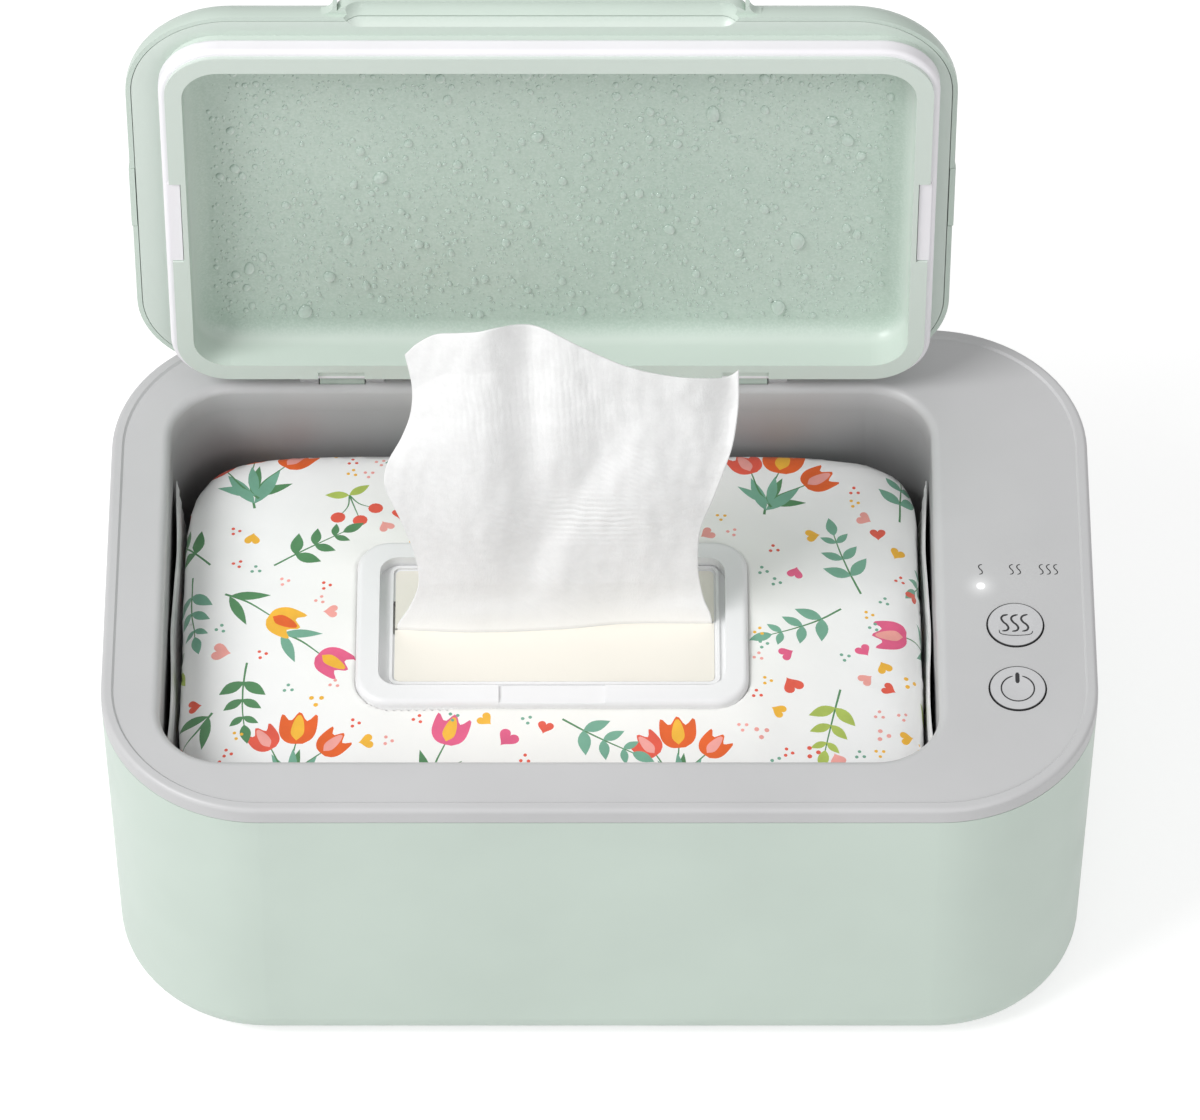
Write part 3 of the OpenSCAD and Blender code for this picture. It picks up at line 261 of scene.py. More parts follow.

# Painted shade: below the rim, the wall of the chamber's mouth goes over into the liner's darker
# grey, for the shade inside the chamber
mouth_u = deck.math("ABSOLUTE", deck.math("ADD", deck.component(0), -MOUTH_X), 0.0)
mouth_v = deck.math("ABSOLUTE", deck.math("ADD", deck.component(1), -MOUTH_Y), 0.0)
mouth_shade_mask = deck.math("MULTIPLY", deck.ranged(mouth_u, 0.1030, 0.1045, 1.0, 0.0),
                       deck.ranged(mouth_v, 0.0655, 0.0670, 1.0, 0.0))
below_rim = deck.ranged(deck.component(2), 0.0915, 0.0988, 1.0, 0.0)
mouth_shade_mask = deck.math("MULTIPLY", mouth_shade_mask, below_rim)
deck.colour(deck.mix(mouth_shade_mask, deck.base(), LINER))

# Painted shade: the liner darkens towards its floor, for the shade deep in the chamber
liner_shade_fade = liner.ranged(liner.component(2), 0.072, 0.091, 0.0, 1.0)
liner.colour(liner.mix(liner_shade_fade, shade(LINER, 0.62), liner.base()))

# Fine mist on the floor of the lid's recess, between the beads
RECESS_DEEP = 0.0122
FLOOR_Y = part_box("lid_tray")[0][1] + RECESS_DEEP  # the recess's floor, with the lid upright
RECESS_X = (-0.1080, 0.0820)
RECESS_Z = (0.1117, 0.2247)
mist_mask = tray.ranged(tray.component(1), FLOOR_Y - 0.0030, FLOOR_Y - 0.0004, 0.0, 1.0)
fine = tray.ranged(tray.voronoi(2000.0), 0.0, 0.6, 1.0, 0.0)
mist = tray.math("MULTIPLY", fine, mist_mask)
tray.bump(mist, 0.00008, 0.25)
patch = tray.ranged(tray.noise(16.0, 4.0, 0.6), 0.35, 0.7, 0.0, 1.0)
wet = tray.mix(patch, lin(184, 203, 191), lin(193, 209, 198))
speck = tray.ranged(tray.noise(1500.0, 2.0, 0.6), 0.42, 0.62, 0.0, 1.0)
wet = tray.mix(tray.math("MULTIPLY", speck, 0.35), wet, lin(214, 226, 218))
tray.colour(tray.mix(mist_mask, lin(212, 223, 215), wet))
tray.set(Coat_Weight=0.2, Coat_Roughness=0.15)

FINISH = {
    "outer_shell": mint, "base_cover": mint, "lid_shell": mint, "lid_clips": clip,
    "lid_tray": tray, "lid_seal": seal, "deck_frame": deck, "chamber_liner": liner,
    "button_heat": button, "button_power": button, "rubber_feet": rubber,
    "base_screws": screw, "liner_screws": screw, "retainer_screws": screw,
    "board_screws": screw, "hinge_pins": pin, "heater_plate": plate, "heater_film": film,
    "insulation_pad": foam, "heater_retainer": retainer, "temperature_sensor": black,
    "thermal_fuse": white, "control_board": board, "tact_switches": black,
    "status_leds": white, "light_guide": guide, "power_socket": black,
    "supply_lead": lead, "heater_lead": lead, "pack_frame": frame_white,
}
for node_name, paint in FINISH.items():
    materials = NODES[node_name].data.materials
    materials.clear()
    materials.append(paint.mat)


# Mesh helpers


def piece(name, points, faces, body, paint, slot, smooth=True):
    """A mesh object in the shared frame that rides on a body."""
    mesh = bpy.data.meshes.new(name)
    mesh.from_pydata([tuple(p) for p in points], [], faces)
    mesh.validate()
    mesh.update()
    obj = new_object(name, mesh)
    mesh.materials.append(paint.mat)
    mesh.polygons.foreach_set("use_smooth", [smooth] * len(mesh.polygons))
    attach(obj, body)
    return obj


def spline(points, count):
    """Points spread evenly by length along a smooth curve through the given ones."""
    p = np.array(points, float)
    p = np.vstack([2 * p[0] - p[1], p, 2 * p[-1] - p[-2]])
    dense = []
    for i in range(1, len(p) - 2):
        for t in np.linspace(0, 1, 24, endpoint=False):
            dense.append(0.5 * (
                2 * p[i]
                + (p[i + 1] - p[i - 1]) * t
                + (2 * p[i - 1] - 5 * p[i] + 4 * p[i + 1] - p[i + 2]) * t * t
                + (3 * p[i] - p[i - 1] - 3 * p[i + 1] + p[i + 2]) * t**3
            ))
    dense.append(p[-2])
    dense = np.array(dense)
    run = np.concatenate([[0], np.cumsum(np.linalg.norm(np.diff(dense, axis=0), axis=1))])
    want = np.linspace(0, run[-1], count)
    return np.stack([np.interp(want, run, dense[:, k]) for k in range(p.shape[1])], axis=1)


def rounded(w, d, r, cx, cy, n=8):
    """Outline of a rounded rectangle, anticlockwise."""
    pts = []
    for k in range(4):
        ox = (w / 2 - r) * (1 if k in (0, 3) else -1)
        oy = (d / 2 - r) * (1 if k < 2 else -1)
        for i in range(n + 1):
            t = math.pi / 2 * (k + i / n)
            pts.append((cx + ox + r * math.cos(t), cy + oy + r * math.sin(t)))
    return pts


# The film pack with its print

PACK_X, PACK_Y, PACK_MID = -0.0127, -0.0016, 0.0503  # its centre
PACK_A, PACK_B, PACK_H = 0.0985, 0.0608, 0.030  # half its width, depth and height
POWER, PROFILE = 8.0, 14.0  # how square its plan and its sides are
FLAT_RUN = 0.078  # width that the unrolled film is measured against

angles = math.pi / 2 * (0.5 - 0.5 * np.cos(np.linspace(0, math.pi, 12000)))
profile_r = np.sin(angles) ** (2 / PROFILE)
profile_z = np.cos(angles) ** (2 / PROFILE)
profile_s = np.concatenate(
    [[0], np.cumsum(np.hypot(np.diff(profile_r) * FLAT_RUN, np.diff(profile_z) * PACK_H))]
) / FLAT_RUN
EQUATOR = profile_s[-1]


# The film puffs up round the frame that is welded to it
FRAME_X, FRAME_Y = -0.0125, -0.0066
FRAME_HALF_W, FRAME_HALF_D, FRAME_R = 0.0518, 0.0280, 0.0090
PUFF, PUFF_RUN = 0.0031, 0.020


def frame_distance(x, y):
    """Distance from the frame's outline, negative under it."""
    u = abs(x - FRAME_X) - FRAME_HALF_W + FRAME_R
    v = abs(y - FRAME_Y) - FRAME_HALF_D + FRAME_R
    return math.hypot(max(u, 0.0), max(v, 0.0)) + min(max(u, v), 0.0) - FRAME_R


def pack_point(a, b):
    """Place on the pack of a point of its unrolled film, in metres from the middle."""
    ra, rb = a / PACK_A, b / PACK_B
    rho = (abs(ra) ** POWER + abs(rb) ** POWER) ** (1 / POWER)
    if rho < 1e-9:
        return Vector((PACK_X, PACK_Y, PACK_MID + PACK_H))
    s = rho if rho <= EQUATOR else 2 * EQUATOR - rho
    r = float(np.interp(s, profile_s, profile_r))
    z = float(np.interp(s, profile_s, profile_z))
    z = z if rho <= EQUATOR else -z
    x, y = PACK_A * r * ra / rho, PACK_B * r * rb / rho
    edge = min(1.0, max(0.0, (rho - 0.55) / 0.5))
    end = min(1.0, max(0.0, (abs(x) - 0.060) / 0.034))
    soft = noise.noise(Vector((x * 38, y * 60, z * 3))) * 0.0007
    crease = abs(noise.noise(Vector((x * 60 + 7, y * 170, z * 5)))) * 0.0011
    sink = (soft - crease) * edge * (0.35 + 0.65 * end) - 0.0002
    inward = Vector((-x / PACK_A * r**5, -y / PACK_B * r**5, -z * (1 if abs(z) > 0.3 else 0.3)))
    if inward.length > 0:
        inward.normalize()
    place = Vector((PACK_X + x, PACK_Y + y, PACK_MID + PACK_H * z))
    out = frame_distance(place.x, place.y)
    clear = min(1.0, max(0.15, (out + 0.002) / 0.004)) if z > 0 else 1.0
    if z > 0:
        step = min(1.0, max(0.0, (out + 0.0009) / 0.0013))
        fade = math.exp(-((max(0.0, out) / PUFF_RUN) ** 2))
        place.z += step * fade * (PUFF + 0.0004 * noise.noise(place * 90))
    return place - inward * sink * clear


rng = random.Random(11)


class Print:
    """Outlines of printed motifs on the unrolled film, each with its colour."""

    def __init__(self):
        self.shapes = []

    def add(self, points, colour):
        pts = [(float(p[0]), float(p[1])) for p in points]
        area = sum(a[0] * b[1] - b[0] * a[1] for a, b in zip(pts, pts[1:] + pts[:1]))
        self.shapes.append((pts if area > 0 else pts[::-1], colour))

    def leaf(self, x, y, angle, length, width, colour):
        """A pointed leaf from x, y in the direction of an angle."""
        c, s = math.cos(angle), math.sin(angle)
        steps = [k / 7 for k in range(8)]
        side = [(t * length, width / 2 * math.sin(math.pi * t**0.85)) for t in steps]
        pts = side + [(u, -v) for u, v in side[-2:0:-1]]
        self.add([(x + c * u - s * v, y + s * u + c * v) for u, v in pts], colour)

    def dot(self, x, y, r, colour, n=12):
        turns = [2 * math.pi * k / n for k in range(n)]
        self.add([(x + r * math.cos(t), y + r * math.sin(t)) for t in turns], colour)

    def stem(self, points, width, colour):
        """A smooth line that gets thinner towards its end."""
        line = spline(points, 10)
        d = np.gradient(line, axis=0)
        normal = np.stack([-d[:, 1], d[:, 0]], axis=1)
        normal /= np.linalg.norm(normal, axis=1)[:, None]
        taper = np.linspace(1.0, 0.5, len(line))[:, None] * width / 2
        self.add(np.vstack([line + normal * taper, (line - normal * taper)[::-1]]), colour)

    def sprig(self, x, y, angle, length, colour, stem, pairs=3):
        """A bent stem with pairs of leaves and one at its tip."""
        bend = rng.uniform(-0.5, 0.5)
        c, s = math.cos(angle), math.sin(angle)

        def at(t):
            u, v = t * length, bend * length * t * t * 0.5
            return x + c * u - s * v, y + s * u + c * v

        self.stem([at(0), at(0.35), at(0.7), at(1.0)], 0.0006, stem)
        for k in range(pairs):
            t = 0.30 + 0.55 * k / max(1, pairs - 1)
            size = length * (0.36 - 0.07 * k)
            px, py = at(t)
            for side in (-1, 1):
                self.leaf(px, py, angle + side * 0.95 + bend * t, size, size * 0.45, colour)
        px, py = at(0.97)
        self.leaf(px, py, angle + bend, length * 0.30, length * 0.14, colour)

    def tulip(self, x, y, angle, size, colour, light, stem, leaf):
        """A cup of three petals on a stem with two long leaves."""
        c, s = math.cos(angle), math.sin(angle)

        def at(u, v):
            return x + c * u - s * v, y + s * u + c * v

        self.stem([at(-size * 1.5, 0), at(-size * 0.8, size * 0.08), at(0, 0)], 0.0007, stem)
        for side in (-1, 1):
            base = at(-size * 1.35, 0)
            self.leaf(base[0], base[1], angle + side * 0.55, size * 1.15, size * 0.30, leaf)
        cup = [
            (0, -0.18), (0.16, -0.40), (0.45, -0.50), (0.95, -0.46), (0.72, -0.22), (1.02, 0.0),
            (0.72, 0.22), (0.95, 0.46), (0.45, 0.50), (0.16, 0.40), (0, 0.18),
        ]
        self.add([at(u * size, v * size) for u, v in spline(cup + cup[:1], 40)[:-1]], colour)
        inner = [(0.10, 0.0), (0.32, -0.17), (0.70, -0.13), (0.93, 0.0), (0.70, 0.13), (0.32, 0.17)]
        self.add([at(u * size, v * size) for u, v in spline(inner + inner[:1], 22)[:-1]], light)

    def berries(self, x, y, angle, size, colour, stem, leaf):
        """Three berries on forked stems over two leaves."""
        for k, turn in enumerate((-0.62, 0.0, 0.62)):
            reach = size * (1.0 if k == 1 else 0.85)
            tx, ty = x + reach * math.cos(angle + turn), y + reach * math.sin(angle + turn)
            mx = x + reach * 0.5 * math.cos(angle + turn * 0.6)
            my = y + reach * 0.5 * math.sin(angle + turn * 0.6)
            self.stem([(x, y), (mx, my), (tx, ty)], 0.00045, stem)
            self.dot(tx, ty, size * 0.19, colour)
        for side in (-1, 1):
            self.leaf(x, y, angle + side * 1.9, size * 0.62, size * 0.26, leaf)

    def heart(self, x, y, angle, size, colour):
        c, s = math.cos(angle), math.sin(angle)
        pts = []
        for k in range(32):
            t = 2 * math.pi * k / 32
            u = 0.8 * math.sin(t) ** 3
            v = (
                13 * math.cos(t) - 5 * math.cos(2 * t) - 2 * math.cos(3 * t) - math.cos(4 * t)
            ) / 20
            pts.append((x + size * (c * u - s * v), y + size * (s * u + c * v)))
        self.add(pts, colour)


CORAL, ORANGE, PINK, YELLOW = "coral", "orange", "pink", "yellow"
SAGE, GREEN, LIME, BLUSH = "sage", "green", "lime", "blush"
INKS = {
    CORAL: lin(232, 92, 72), ORANGE: lin(232, 100, 38), PINK: lin(230, 96, 138),
    YELLOW: lin(246, 186, 58), SAGE: lin(118, 172, 148), GREEN: lin(84, 138, 92),
    LIME: lin(176, 196, 92), BLUSH: lin(244, 166, 158),
}


PRINT_TRIES, ONLY_SMALL_AFTER = 5000, 2600


def draw_print():
    """Scatters the motifs over the film, clear of the frame."""
    art = Print()
    placed = []

    def free(x, y, r):
        if abs(x + 0.001) < 0.0535 + r * 0.7 and abs(y + 0.0046) < 0.0295 + r * 0.7:
            return False
        return all(math.hypot(x - a, y - b) > r + c for a, b, c in placed)

    clumps = [
        (-0.080, 0.044, 1.5, 0.0150), (0.034, -0.056, 1.5, 0.0120),
        (-0.068, -0.054, 1.35, 0.0125), (0.058, 0.040, 1.2, 0.0140),
    ]
    for x, y, angle, size in clumps:
        for k, turn in enumerate((-0.6, 0.12, 0.75)):
            s = size * (1.0 - 0.18 * abs(k - 1))
            cx = x + size * 0.85 * math.cos(angle + turn)
            cy = y + size * 0.85 * math.sin(angle + turn)
            art.tulip(cx, cy, angle + turn, s * 0.80, ORANGE if k != 2 else CORAL,
                      YELLOW if k == 1 else BLUSH, GREEN, SAGE if k else GREEN)
        middle = (x + 0.5 * size * math.cos(angle), y + 0.5 * size * math.sin(angle))
        placed.append(middle + (size * 1.2,))
    kinds = ["tulip", "sprig", "berries", "sprig", "tulip", "heart", "sprig", "dots"]
    sizes = {"sprig": 0.0098, "tulip": 0.0092, "berries": 0.0085, "heart": 0.0040, "dots": 0.0028}
    limit_a, limit_b = PACK_A * 1.16, PACK_B * 1.16
    k = 0
    for tries in range(1, PRINT_TRIES + 1):
        x, y = rng.uniform(-limit_a, limit_a), rng.uniform(-limit_b, limit_b)
        kind = kinds[k % len(kinds)]
        size = sizes[kind]
        if tries > ONLY_SMALL_AFTER:
            kind, size = ("heart", 0.0030) if k % 3 == 0 else ("dots", 0.0021)
        if not free(x, y, size):
            continue
        placed.append((x, y, size))
        angle = rng.uniform(0, 2 * math.pi)
        c, s = math.cos(angle), math.sin(angle)
        if kind == "sprig":
            colour = rng.choice([SAGE, SAGE, GREEN, LIME])
            art.sprig(x - size * c, y - size * s, angle, size * 2.2, colour, GREEN)
        elif kind == "tulip":
            pairs = [(CORAL, BLUSH), (PINK, BLUSH), (YELLOW, ORANGE), (PINK, YELLOW)]
            colour, light = rng.choice(pairs)
            art.tulip(x + size * 0.25 * c, y + size * 0.25 * s, angle, size * 1.05,
                      colour, light, GREEN, rng.choice([SAGE, GREEN]))
        elif kind == "berries":
            art.berries(x - size * 0.4 * c, y - size * 0.4 * s, angle, size * 1.25,
                        rng.choice([CORAL, PINK, ORANGE, YELLOW]), GREEN, rng.choice([SAGE, LIME]))
        elif kind == "heart":
            art.heart(x, y, angle, size * 0.9, rng.choice([PINK, CORAL, BLUSH, YELLOW]))
        else:
            tone = rng.choice([YELLOW, CORAL, BLUSH, SAGE])
            reach = size * 0.55
            for t in (angle, angle + 2.1, angle + 2.1 * 2):
                art.dot(x + reach * math.cos(t), y + reach * math.sin(t), size * 0.24, tone, 8)
        k += 1
    return art.shapes


def build_pouch():
    """Pouch of printed film: its top is cut along the outlines of the print."""
    rim_rho = 1.20  # where the printed top ends and the plain underside begins
    step = 0.0030
    skirt_rows = 14
    n = 200
    outline = []
    for i in range(n):
        t = 2 * math.pi * i / n
        c, s = math.cos(t), math.sin(t)
        outline.append((
            PACK_A * rim_rho * math.copysign(abs(c) ** (2 / POWER), c),
            PACK_B * rim_rho * math.copysign(abs(s) ** (2 / POWER), s),
        ))
    sides = [math.dist(outline[i], outline[(i + 1) % n]) for i in range(n)]
    run = np.concatenate([[0], np.cumsum(sides)])
    closed = np.array(outline + [outline[0]])
    want = np.linspace(0, run[-1], n, endpoint=False)
    points = [tuple(float(np.interp(w, run, closed[:, k])) for k in (0, 1)) for w in want]
    loops = [list(range(n))]
    shapes = draw_print()
    for shape, _ in shapes:
        loops.append(list(range(len(points), len(points) + len(shape))))
        points.extend(shape)
    # Rings of points close to the frame's edge, and a grid elsewhere
    for out in (-0.0011, -0.0004, 0.0005, 0.0014):
        ring = rounded(2 * (FRAME_HALF_W + out), 2 * (FRAME_HALF_D + out), FRAME_R + out,
                       FRAME_X - PACK_X, FRAME_Y - PACK_Y, 8)
        points.extend(tuple(p) for p in spline(ring + [ring[0]], 180)[:-1])
    for i in range(-40, 41):
        for j in range(-26, 27):
            a, b = i * step + (step / 2 if j % 2 else 0), j * step
            if abs(frame_distance(PACK_X + a, PACK_Y + b)) < 0.0020:
                continue
            rho = (abs(a / PACK_A) ** POWER + abs(b / PACK_B) ** POWER) ** (1 / POWER)
            if rho < rim_rho - 0.02:
                points.append((a, b))
    made = geometry.delaunay_2d_cdt([Vector(p) for p in points], [], loops, 0, 1e-6)
    flat, faces, origins = made[0], made[2], made[5]
    mesh = bmesh.new()
    verts = [mesh.verts.new(pack_point(p[0], p[1])) for p in flat]
    flat_of = {v: (p[0], p[1]) for v, p in zip(verts, flat)}
    order = list(INKS)
    for face, origin in zip(faces, origins):
        if 0 not in origin:
            continue
        shape_no = max(origin)
        f = mesh.faces.new([verts[i] for i in face])
        f.material_index = 1 + order.index(shapes[shape_no - 1][1]) if shape_no else 0
        f.smooth = True
    loose = [v for v in mesh.verts if not v.link_faces]
    bmesh.ops.delete(mesh, geom=loose, context="VERTS")
    # The plain film goes on from the rim, down the sides and under the pack
    edges = [e for e in mesh.edges if e.is_boundary]
    ring = {v: flat_of[v] for e in edges for v in e.verts}
    previous = {v: v for v in ring}
    for k in range(1, skirt_rows + 1):
        rho = rim_rho + (2 * EQUATOR - 0.02 - rim_rho) * k / skirt_rows
        new = {}
        for v, (a, b) in ring.items():
            new[v] = mesh.verts.new(pack_point(a * rho / rim_rho, b * rho / rim_rho))
        for e in edges:
            a, b = e.verts
            f = mesh.faces.new((previous[a], previous[b], new[b], new[a]))
            f.smooth = True
        previous = new
    centre = mesh.verts.new((PACK_X, PACK_Y, PACK_MID - PACK_H))
    for e in edges:
        a, b = e.verts
        mesh.faces.new((previous[a], previous[b], centre))
    bmesh.ops.recalc_face_normals(mesh, faces=mesh.faces)
    data = bpy.data.meshes.new("wipes_pouch")
    mesh.to_mesh(data)
    mesh.free()
    return new_object("wipes_pouch", data), order


def film_paint(name, colour, cream=None):
    """Satin film with a soft drift of ink."""
    p = Paint(name)
    drift = p.ranged(p.noise(120.0, 4.0, 0.6), 0.3, 0.7, 0.0, 1.0)
    if cream:
        warm = p.near((-0.012, -0.008, 0.080), 0.030, 0.085)
        base = p.mix(warm, colour, cream)
        p.colour(p.mix(p.math("MULTIPLY", drift, 0.25), base, shade(colour, 0.96)))
    else:
        p.colour(p.mix(drift, shade(colour, 0.92), shade(colour, 1.10)))
    p.rough(p.ranged(p.noise(45.0, 3.0), 0.3, 0.7, 0.30, 0.40))
    p.bump(p.noise(90.0, 4.0, 0.6), 0.0003, 0.35)
    p.set(Coat_Weight=0.25, Coat_Roughness=0.18)
    return p


pouch, ink_order = build_pouch()
pouch.data.materials.append(film_paint("film_white", lin(250, 250, 250), lin(251, 250, 245)).mat)
for ink in ink_order:
    pouch.data.materials.append(film_paint("ink_" + ink, INKS[ink]).mat)
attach(pouch, "root")
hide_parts("wipes_pack")

film_edge = film_paint("film_seal", lin(246, 246, 246))


def end_seal(name, side):
    """Crimped end of the film, folded up against the chamber's wall."""
    x0 = PACK_X + side * (PACK_A - 0.0005)
    lean = -0.0022 if side < 0 else 0.0018
    rows, cols = 26, 150
    y0, y1, z0, high = -0.053, 0.045, 0.0500, 0.0320
    thick = 0.00018
    pts, quads = [], []
    for layer in (0, 1):
        for j in range(rows + 1):
            t = j / rows
            for i in range(cols + 1):
                u = i / cols
                y = y0 + (y1 - y0) * u
                uneven = 0.0010 * math.sin(u * 9.0) + 0.0006 * math.sin(u * 31.0)
                wave = 0.0004 * math.sin(u * 12.0 + 2.0 * t) * t
                crimp = 0.00012 * math.sin(t * rows * math.pi / 2) * min(1.0, t * 3)
                x = x0 + lean * t + side * (wave + crimp + thick * layer)
                pts.append((x, y, z0 + t * (high + uneven)))
    size = (rows + 1) * (cols + 1)
    for layer in (0, 1):
        for j in range(rows):
            for i in range(cols):
                a = layer * size + j * (cols + 1) + i
                quad = (a, a + 1, a + cols + 2, a + cols + 1)
                quads.append(quad if layer else quad[::-1])
    for j in range(rows):
        for i in (0, cols):
            a = j * (cols + 1) + i
            b = a + cols + 1
            quads.append((a, b, b + size, a + size) if i == 0 else (a, a + size, b + size, b))
    for i in range(cols):
        for j in (0, rows):
            a = j * (cols + 1) + i
            quad = (a, a + size, a + 1 + size, a + 1)
            quads.append(quad if j == 0 else quad[:1] + quad[:0:-1])
    piece(name, pts, quads, "root", film_edge, "pack_film")


end_seal("pouch_seal_left", -1)
end_seal("pouch_seal_right", 1)

# The wipe's outline in the image: its sides and its bottom and top edges

WIPE_LEFT = [
    (397.5, 629), (398.5, 623), (410, 606), (418.5, 584), (416, 558), (403, 524), (388, 494),
    (384.5, 478), (389, 460), (402, 437), (411, 412), (412, 386), (405, 354.5),
]
WIPE_TOP = [
    (405, 354.5), (418, 343), (436, 334.5), (458, 333.5), (479, 332.5), (499, 328), (521, 324.3),
    (542, 328), (583, 348), (628.5, 367.5), (674, 377), (712, 378.5), (729, 376), (739, 369.5),
]
WIPE_RIGHT = [
    (712, 622), (710, 613), (703, 596), (698, 567), (700, 530), (712, 501), (725, 468),
    (733, 443.5), (738.5, 405), (739, 369.5),
]
WIPE_BOTTOM = [(397.5, 629), (473.5, 631), (540, 629.5), (574, 627.5), (631, 622.5), (712, 622)]
WIPE_U, WIPE_V = 200, 240  # steps across and up

# The label inside the frame, through whose slit the wipe comes up
LABEL_X, LABEL_Y, LABEL_Z, LABEL_TOP = -0.0119, -0.0055, 0.0817, 0.0819
LABEL_HALF_W, LABEL_FRONT, LABEL_BACK, LABEL_R = 0.0422, -0.0245, 0.0135, 0.0014


def on_plane(u, v, z):
    """Point of the plane at height z that the image point u, v shows."""
    d = ray(u, v)
    return EYE + d * ((z - EYE.z) / d.z)


foot = [tuple(on_plane(u, v, LABEL_TOP).xy) for u, v in spline(WIPE_BOTTOM, WIPE_U + 1)]
cream_label = moulded("label_cream", lin(238, 234, 224), 0.36, 1500.0, 0.000006, 0.01)


def slab(name, outline, top, paint, hole=None):
    """Thin plate with an outline, and a hole with as many points as the outline."""
    n = len(outline)
    low = LABEL_Z - 0.0001
    if hole is None:
        pts = [(x, y, top) for x, y in outline] + [(x, y, low) for x, y in outline]
        faces = [tuple(range(n)), tuple(range(2 * n - 1, n - 1, -1))]
        faces += [(i, i + n, (i + 1) % n + n, (i + 1) % n) for i in range(n)]
    else:
        rings = [(outline, top), (outline, low), (hole, low), (hole, top)]
        pts = [(x, y, z) for ring, z in rings for x, y in ring]
        faces = []
        for k in range(4):
            for i in range(n):
                j = (i + 1) % n
                a, b = k * n, ((k + 1) % 4) * n
                faces.append((a + i, b + i, b + j, a + j))
    piece(name, pts, faces, "root", paint, "frame_white", False)


def label_part(name, back):
    """Film in front of or behind the slit that the wipe comes out of."""
    gap = 0.0003 if back else -0.0003
    left = (LABEL_X - LABEL_HALF_W, foot[0][1])
    right = (LABEL_X + LABEL_HALF_W, foot[-1][1])
    slit = [(x, y + gap) for x, y in [left] + foot[4:-4:8] + [right]]
    far = LABEL_BACK if back else LABEL_FRONT
    bend = 1 if back else -1
    ends = []
    for side in (1, -1):
        arc = [
            (LABEL_X + side * (LABEL_HALF_W - LABEL_R + LABEL_R * math.cos(t)),
             far - bend * LABEL_R * (1 - math.sin(t)))
            for t in np.linspace(0, math.pi / 2, 6)
        ]
        ends.extend(arc if side > 0 else arc[::-1])
    outline = slit + ends
    if not back:
        outline = outline[::-1]
    slab(name, outline, LABEL_TOP, cream_label)


label_part("label_front", False)
label_part("label_back", True)
slab("label_border", rounded(0.0872, 0.0408, 0.0024, LABEL_X, LABEL_Y), LABEL_Z + 0.0007,
     frame_white, rounded(0.0856, 0.0392, 0.0018, LABEL_X, LABEL_Y))

# Marks of the panel

ink_dark = moulded("mark_dark", lin(52, 52, 54), 0.45, 2000.0, 0.000003, 0.05)
INK_HALF = 0.00004  # half the thickness of the printed lines


def dish(x, y, cy):
    """Height of a button's dished top at a point, at rest."""
    r2 = (x - PANEL_X) ** 2 + (y - cy) ** 2
    return BUTTON_TOP + min(r2 / 0.080, 0.00025)


def stroke(lines, half, top):
    """Solid ribbons along lines; top(x, y) is the height of what they lie on."""
    pts, faces = [], []
    for line in lines:
        line = np.array(line, float)
        n = len(line)
        d = np.gradient(line, axis=0)
        normal = np.stack([-d[:, 1], d[:, 0]], axis=1)
        normal /= np.linalg.norm(normal, axis=1)[:, None]
        base = len(pts)
        ends = np.minimum(np.arange(n), np.arange(n)[::-1])
        width = half * np.clip(0.45 + ends * 0.28, 0, 1)
        for i in range(n):
            for side in (1, -1):
                x, y = line[i] + normal[i] * width[i] * side
                z = top(x, y)
                pts.append((x, y, z + INK_HALF))
                pts.append((x, y, z - INK_HALF))
        for i in range(n - 1):
            a, b = base + 4 * i, base + 4 * (i + 1)
            faces += [(a, a + 2, b + 2, b), (a + 1, b + 1, b + 3, a + 3), (a, b, b + 1, a + 1),
                      (a + 2, a + 3, b + 3, b + 2)]
        a, b = base, base + 4 * (n - 1)
        faces += [(a, a + 1, a + 3, a + 2), (b, b + 2, b + 3, b + 1)]
    return pts, faces


def wave_line(x, y, h, w):
    """One S-shaped wave of rising heat, of height h and width w."""
    pts = [
        (0.42, 1.0), (-0.25, 0.93), (-0.50, 0.76), (-0.22, 0.56),
        (0.20, 0.42), (0.45, 0.22), (0.22, 0.06), (-0.42, 0.0),
    ]
    return spline([(x + u * w, y + (v - 0.5) * h) for u, v in pts], 28)


def marks(name, lines, half, body, height, slot="button_grey"):
    """Open lines drawn on the deck or on a button."""
    pts, faces = stroke(lines, half, height)
    piece(name, pts, faces, body, ink_dark, slot, False)


def on_heat(x, y):
    return dish(x, y, HEAT_Y)


def on_power(x, y):
    return dish(x, y, POWER_Y)


for k, cx in enumerate((0.1004, 0.1095, 0.1183)):
    waves = [wave_line(cx + (j - k / 2) * 0.0019, -0.0013, 0.0034, 0.0010) for j in range(k + 1)]
    marks("steam_mark_%d" % (k + 1), waves, 0.00014, "root", lambda x, y: DECK_Z, "deck_grey")

waves = [
    wave_line(PANEL_X + (k - 1) * 0.0026 - 0.0001, HEAT_Y + 0.0006, 0.0056, 0.0019)
    for k in range(3)
]
marks("heat_waves", waves, 0.00027, "heat_button", on_heat)
bowl = spline(
    [(PANEL_X + u, HEAT_Y + v) for u, v in (
        (-0.0043, -0.0018), (-0.0040, -0.0030), (-0.0020, -0.0036),
        (0.0022, -0.0036), (0.0040, -0.0032), (0.0045, -0.0022),
    )],
    40,
)
marks("heat_bowl", [bowl], 0.00012, "heat_button", on_heat)
ARC_R, ARC_START = 0.0043, 0.28
arc = [
    (PANEL_X + ARC_R * math.sin(t), POWER_Y - 0.0001 + ARC_R * math.cos(t))
    for t in np.linspace(ARC_START, 2 * math.pi - ARC_START, 64)
]
marks("power_arc", [arc], 0.00019, "power_button", on_power)
bar = [(PANEL_X, POWER_Y + t) for t in np.linspace(0.0018, 0.0052, 12)]
marks("power_bar", [bar], 0.00055, "power_button", on_power)
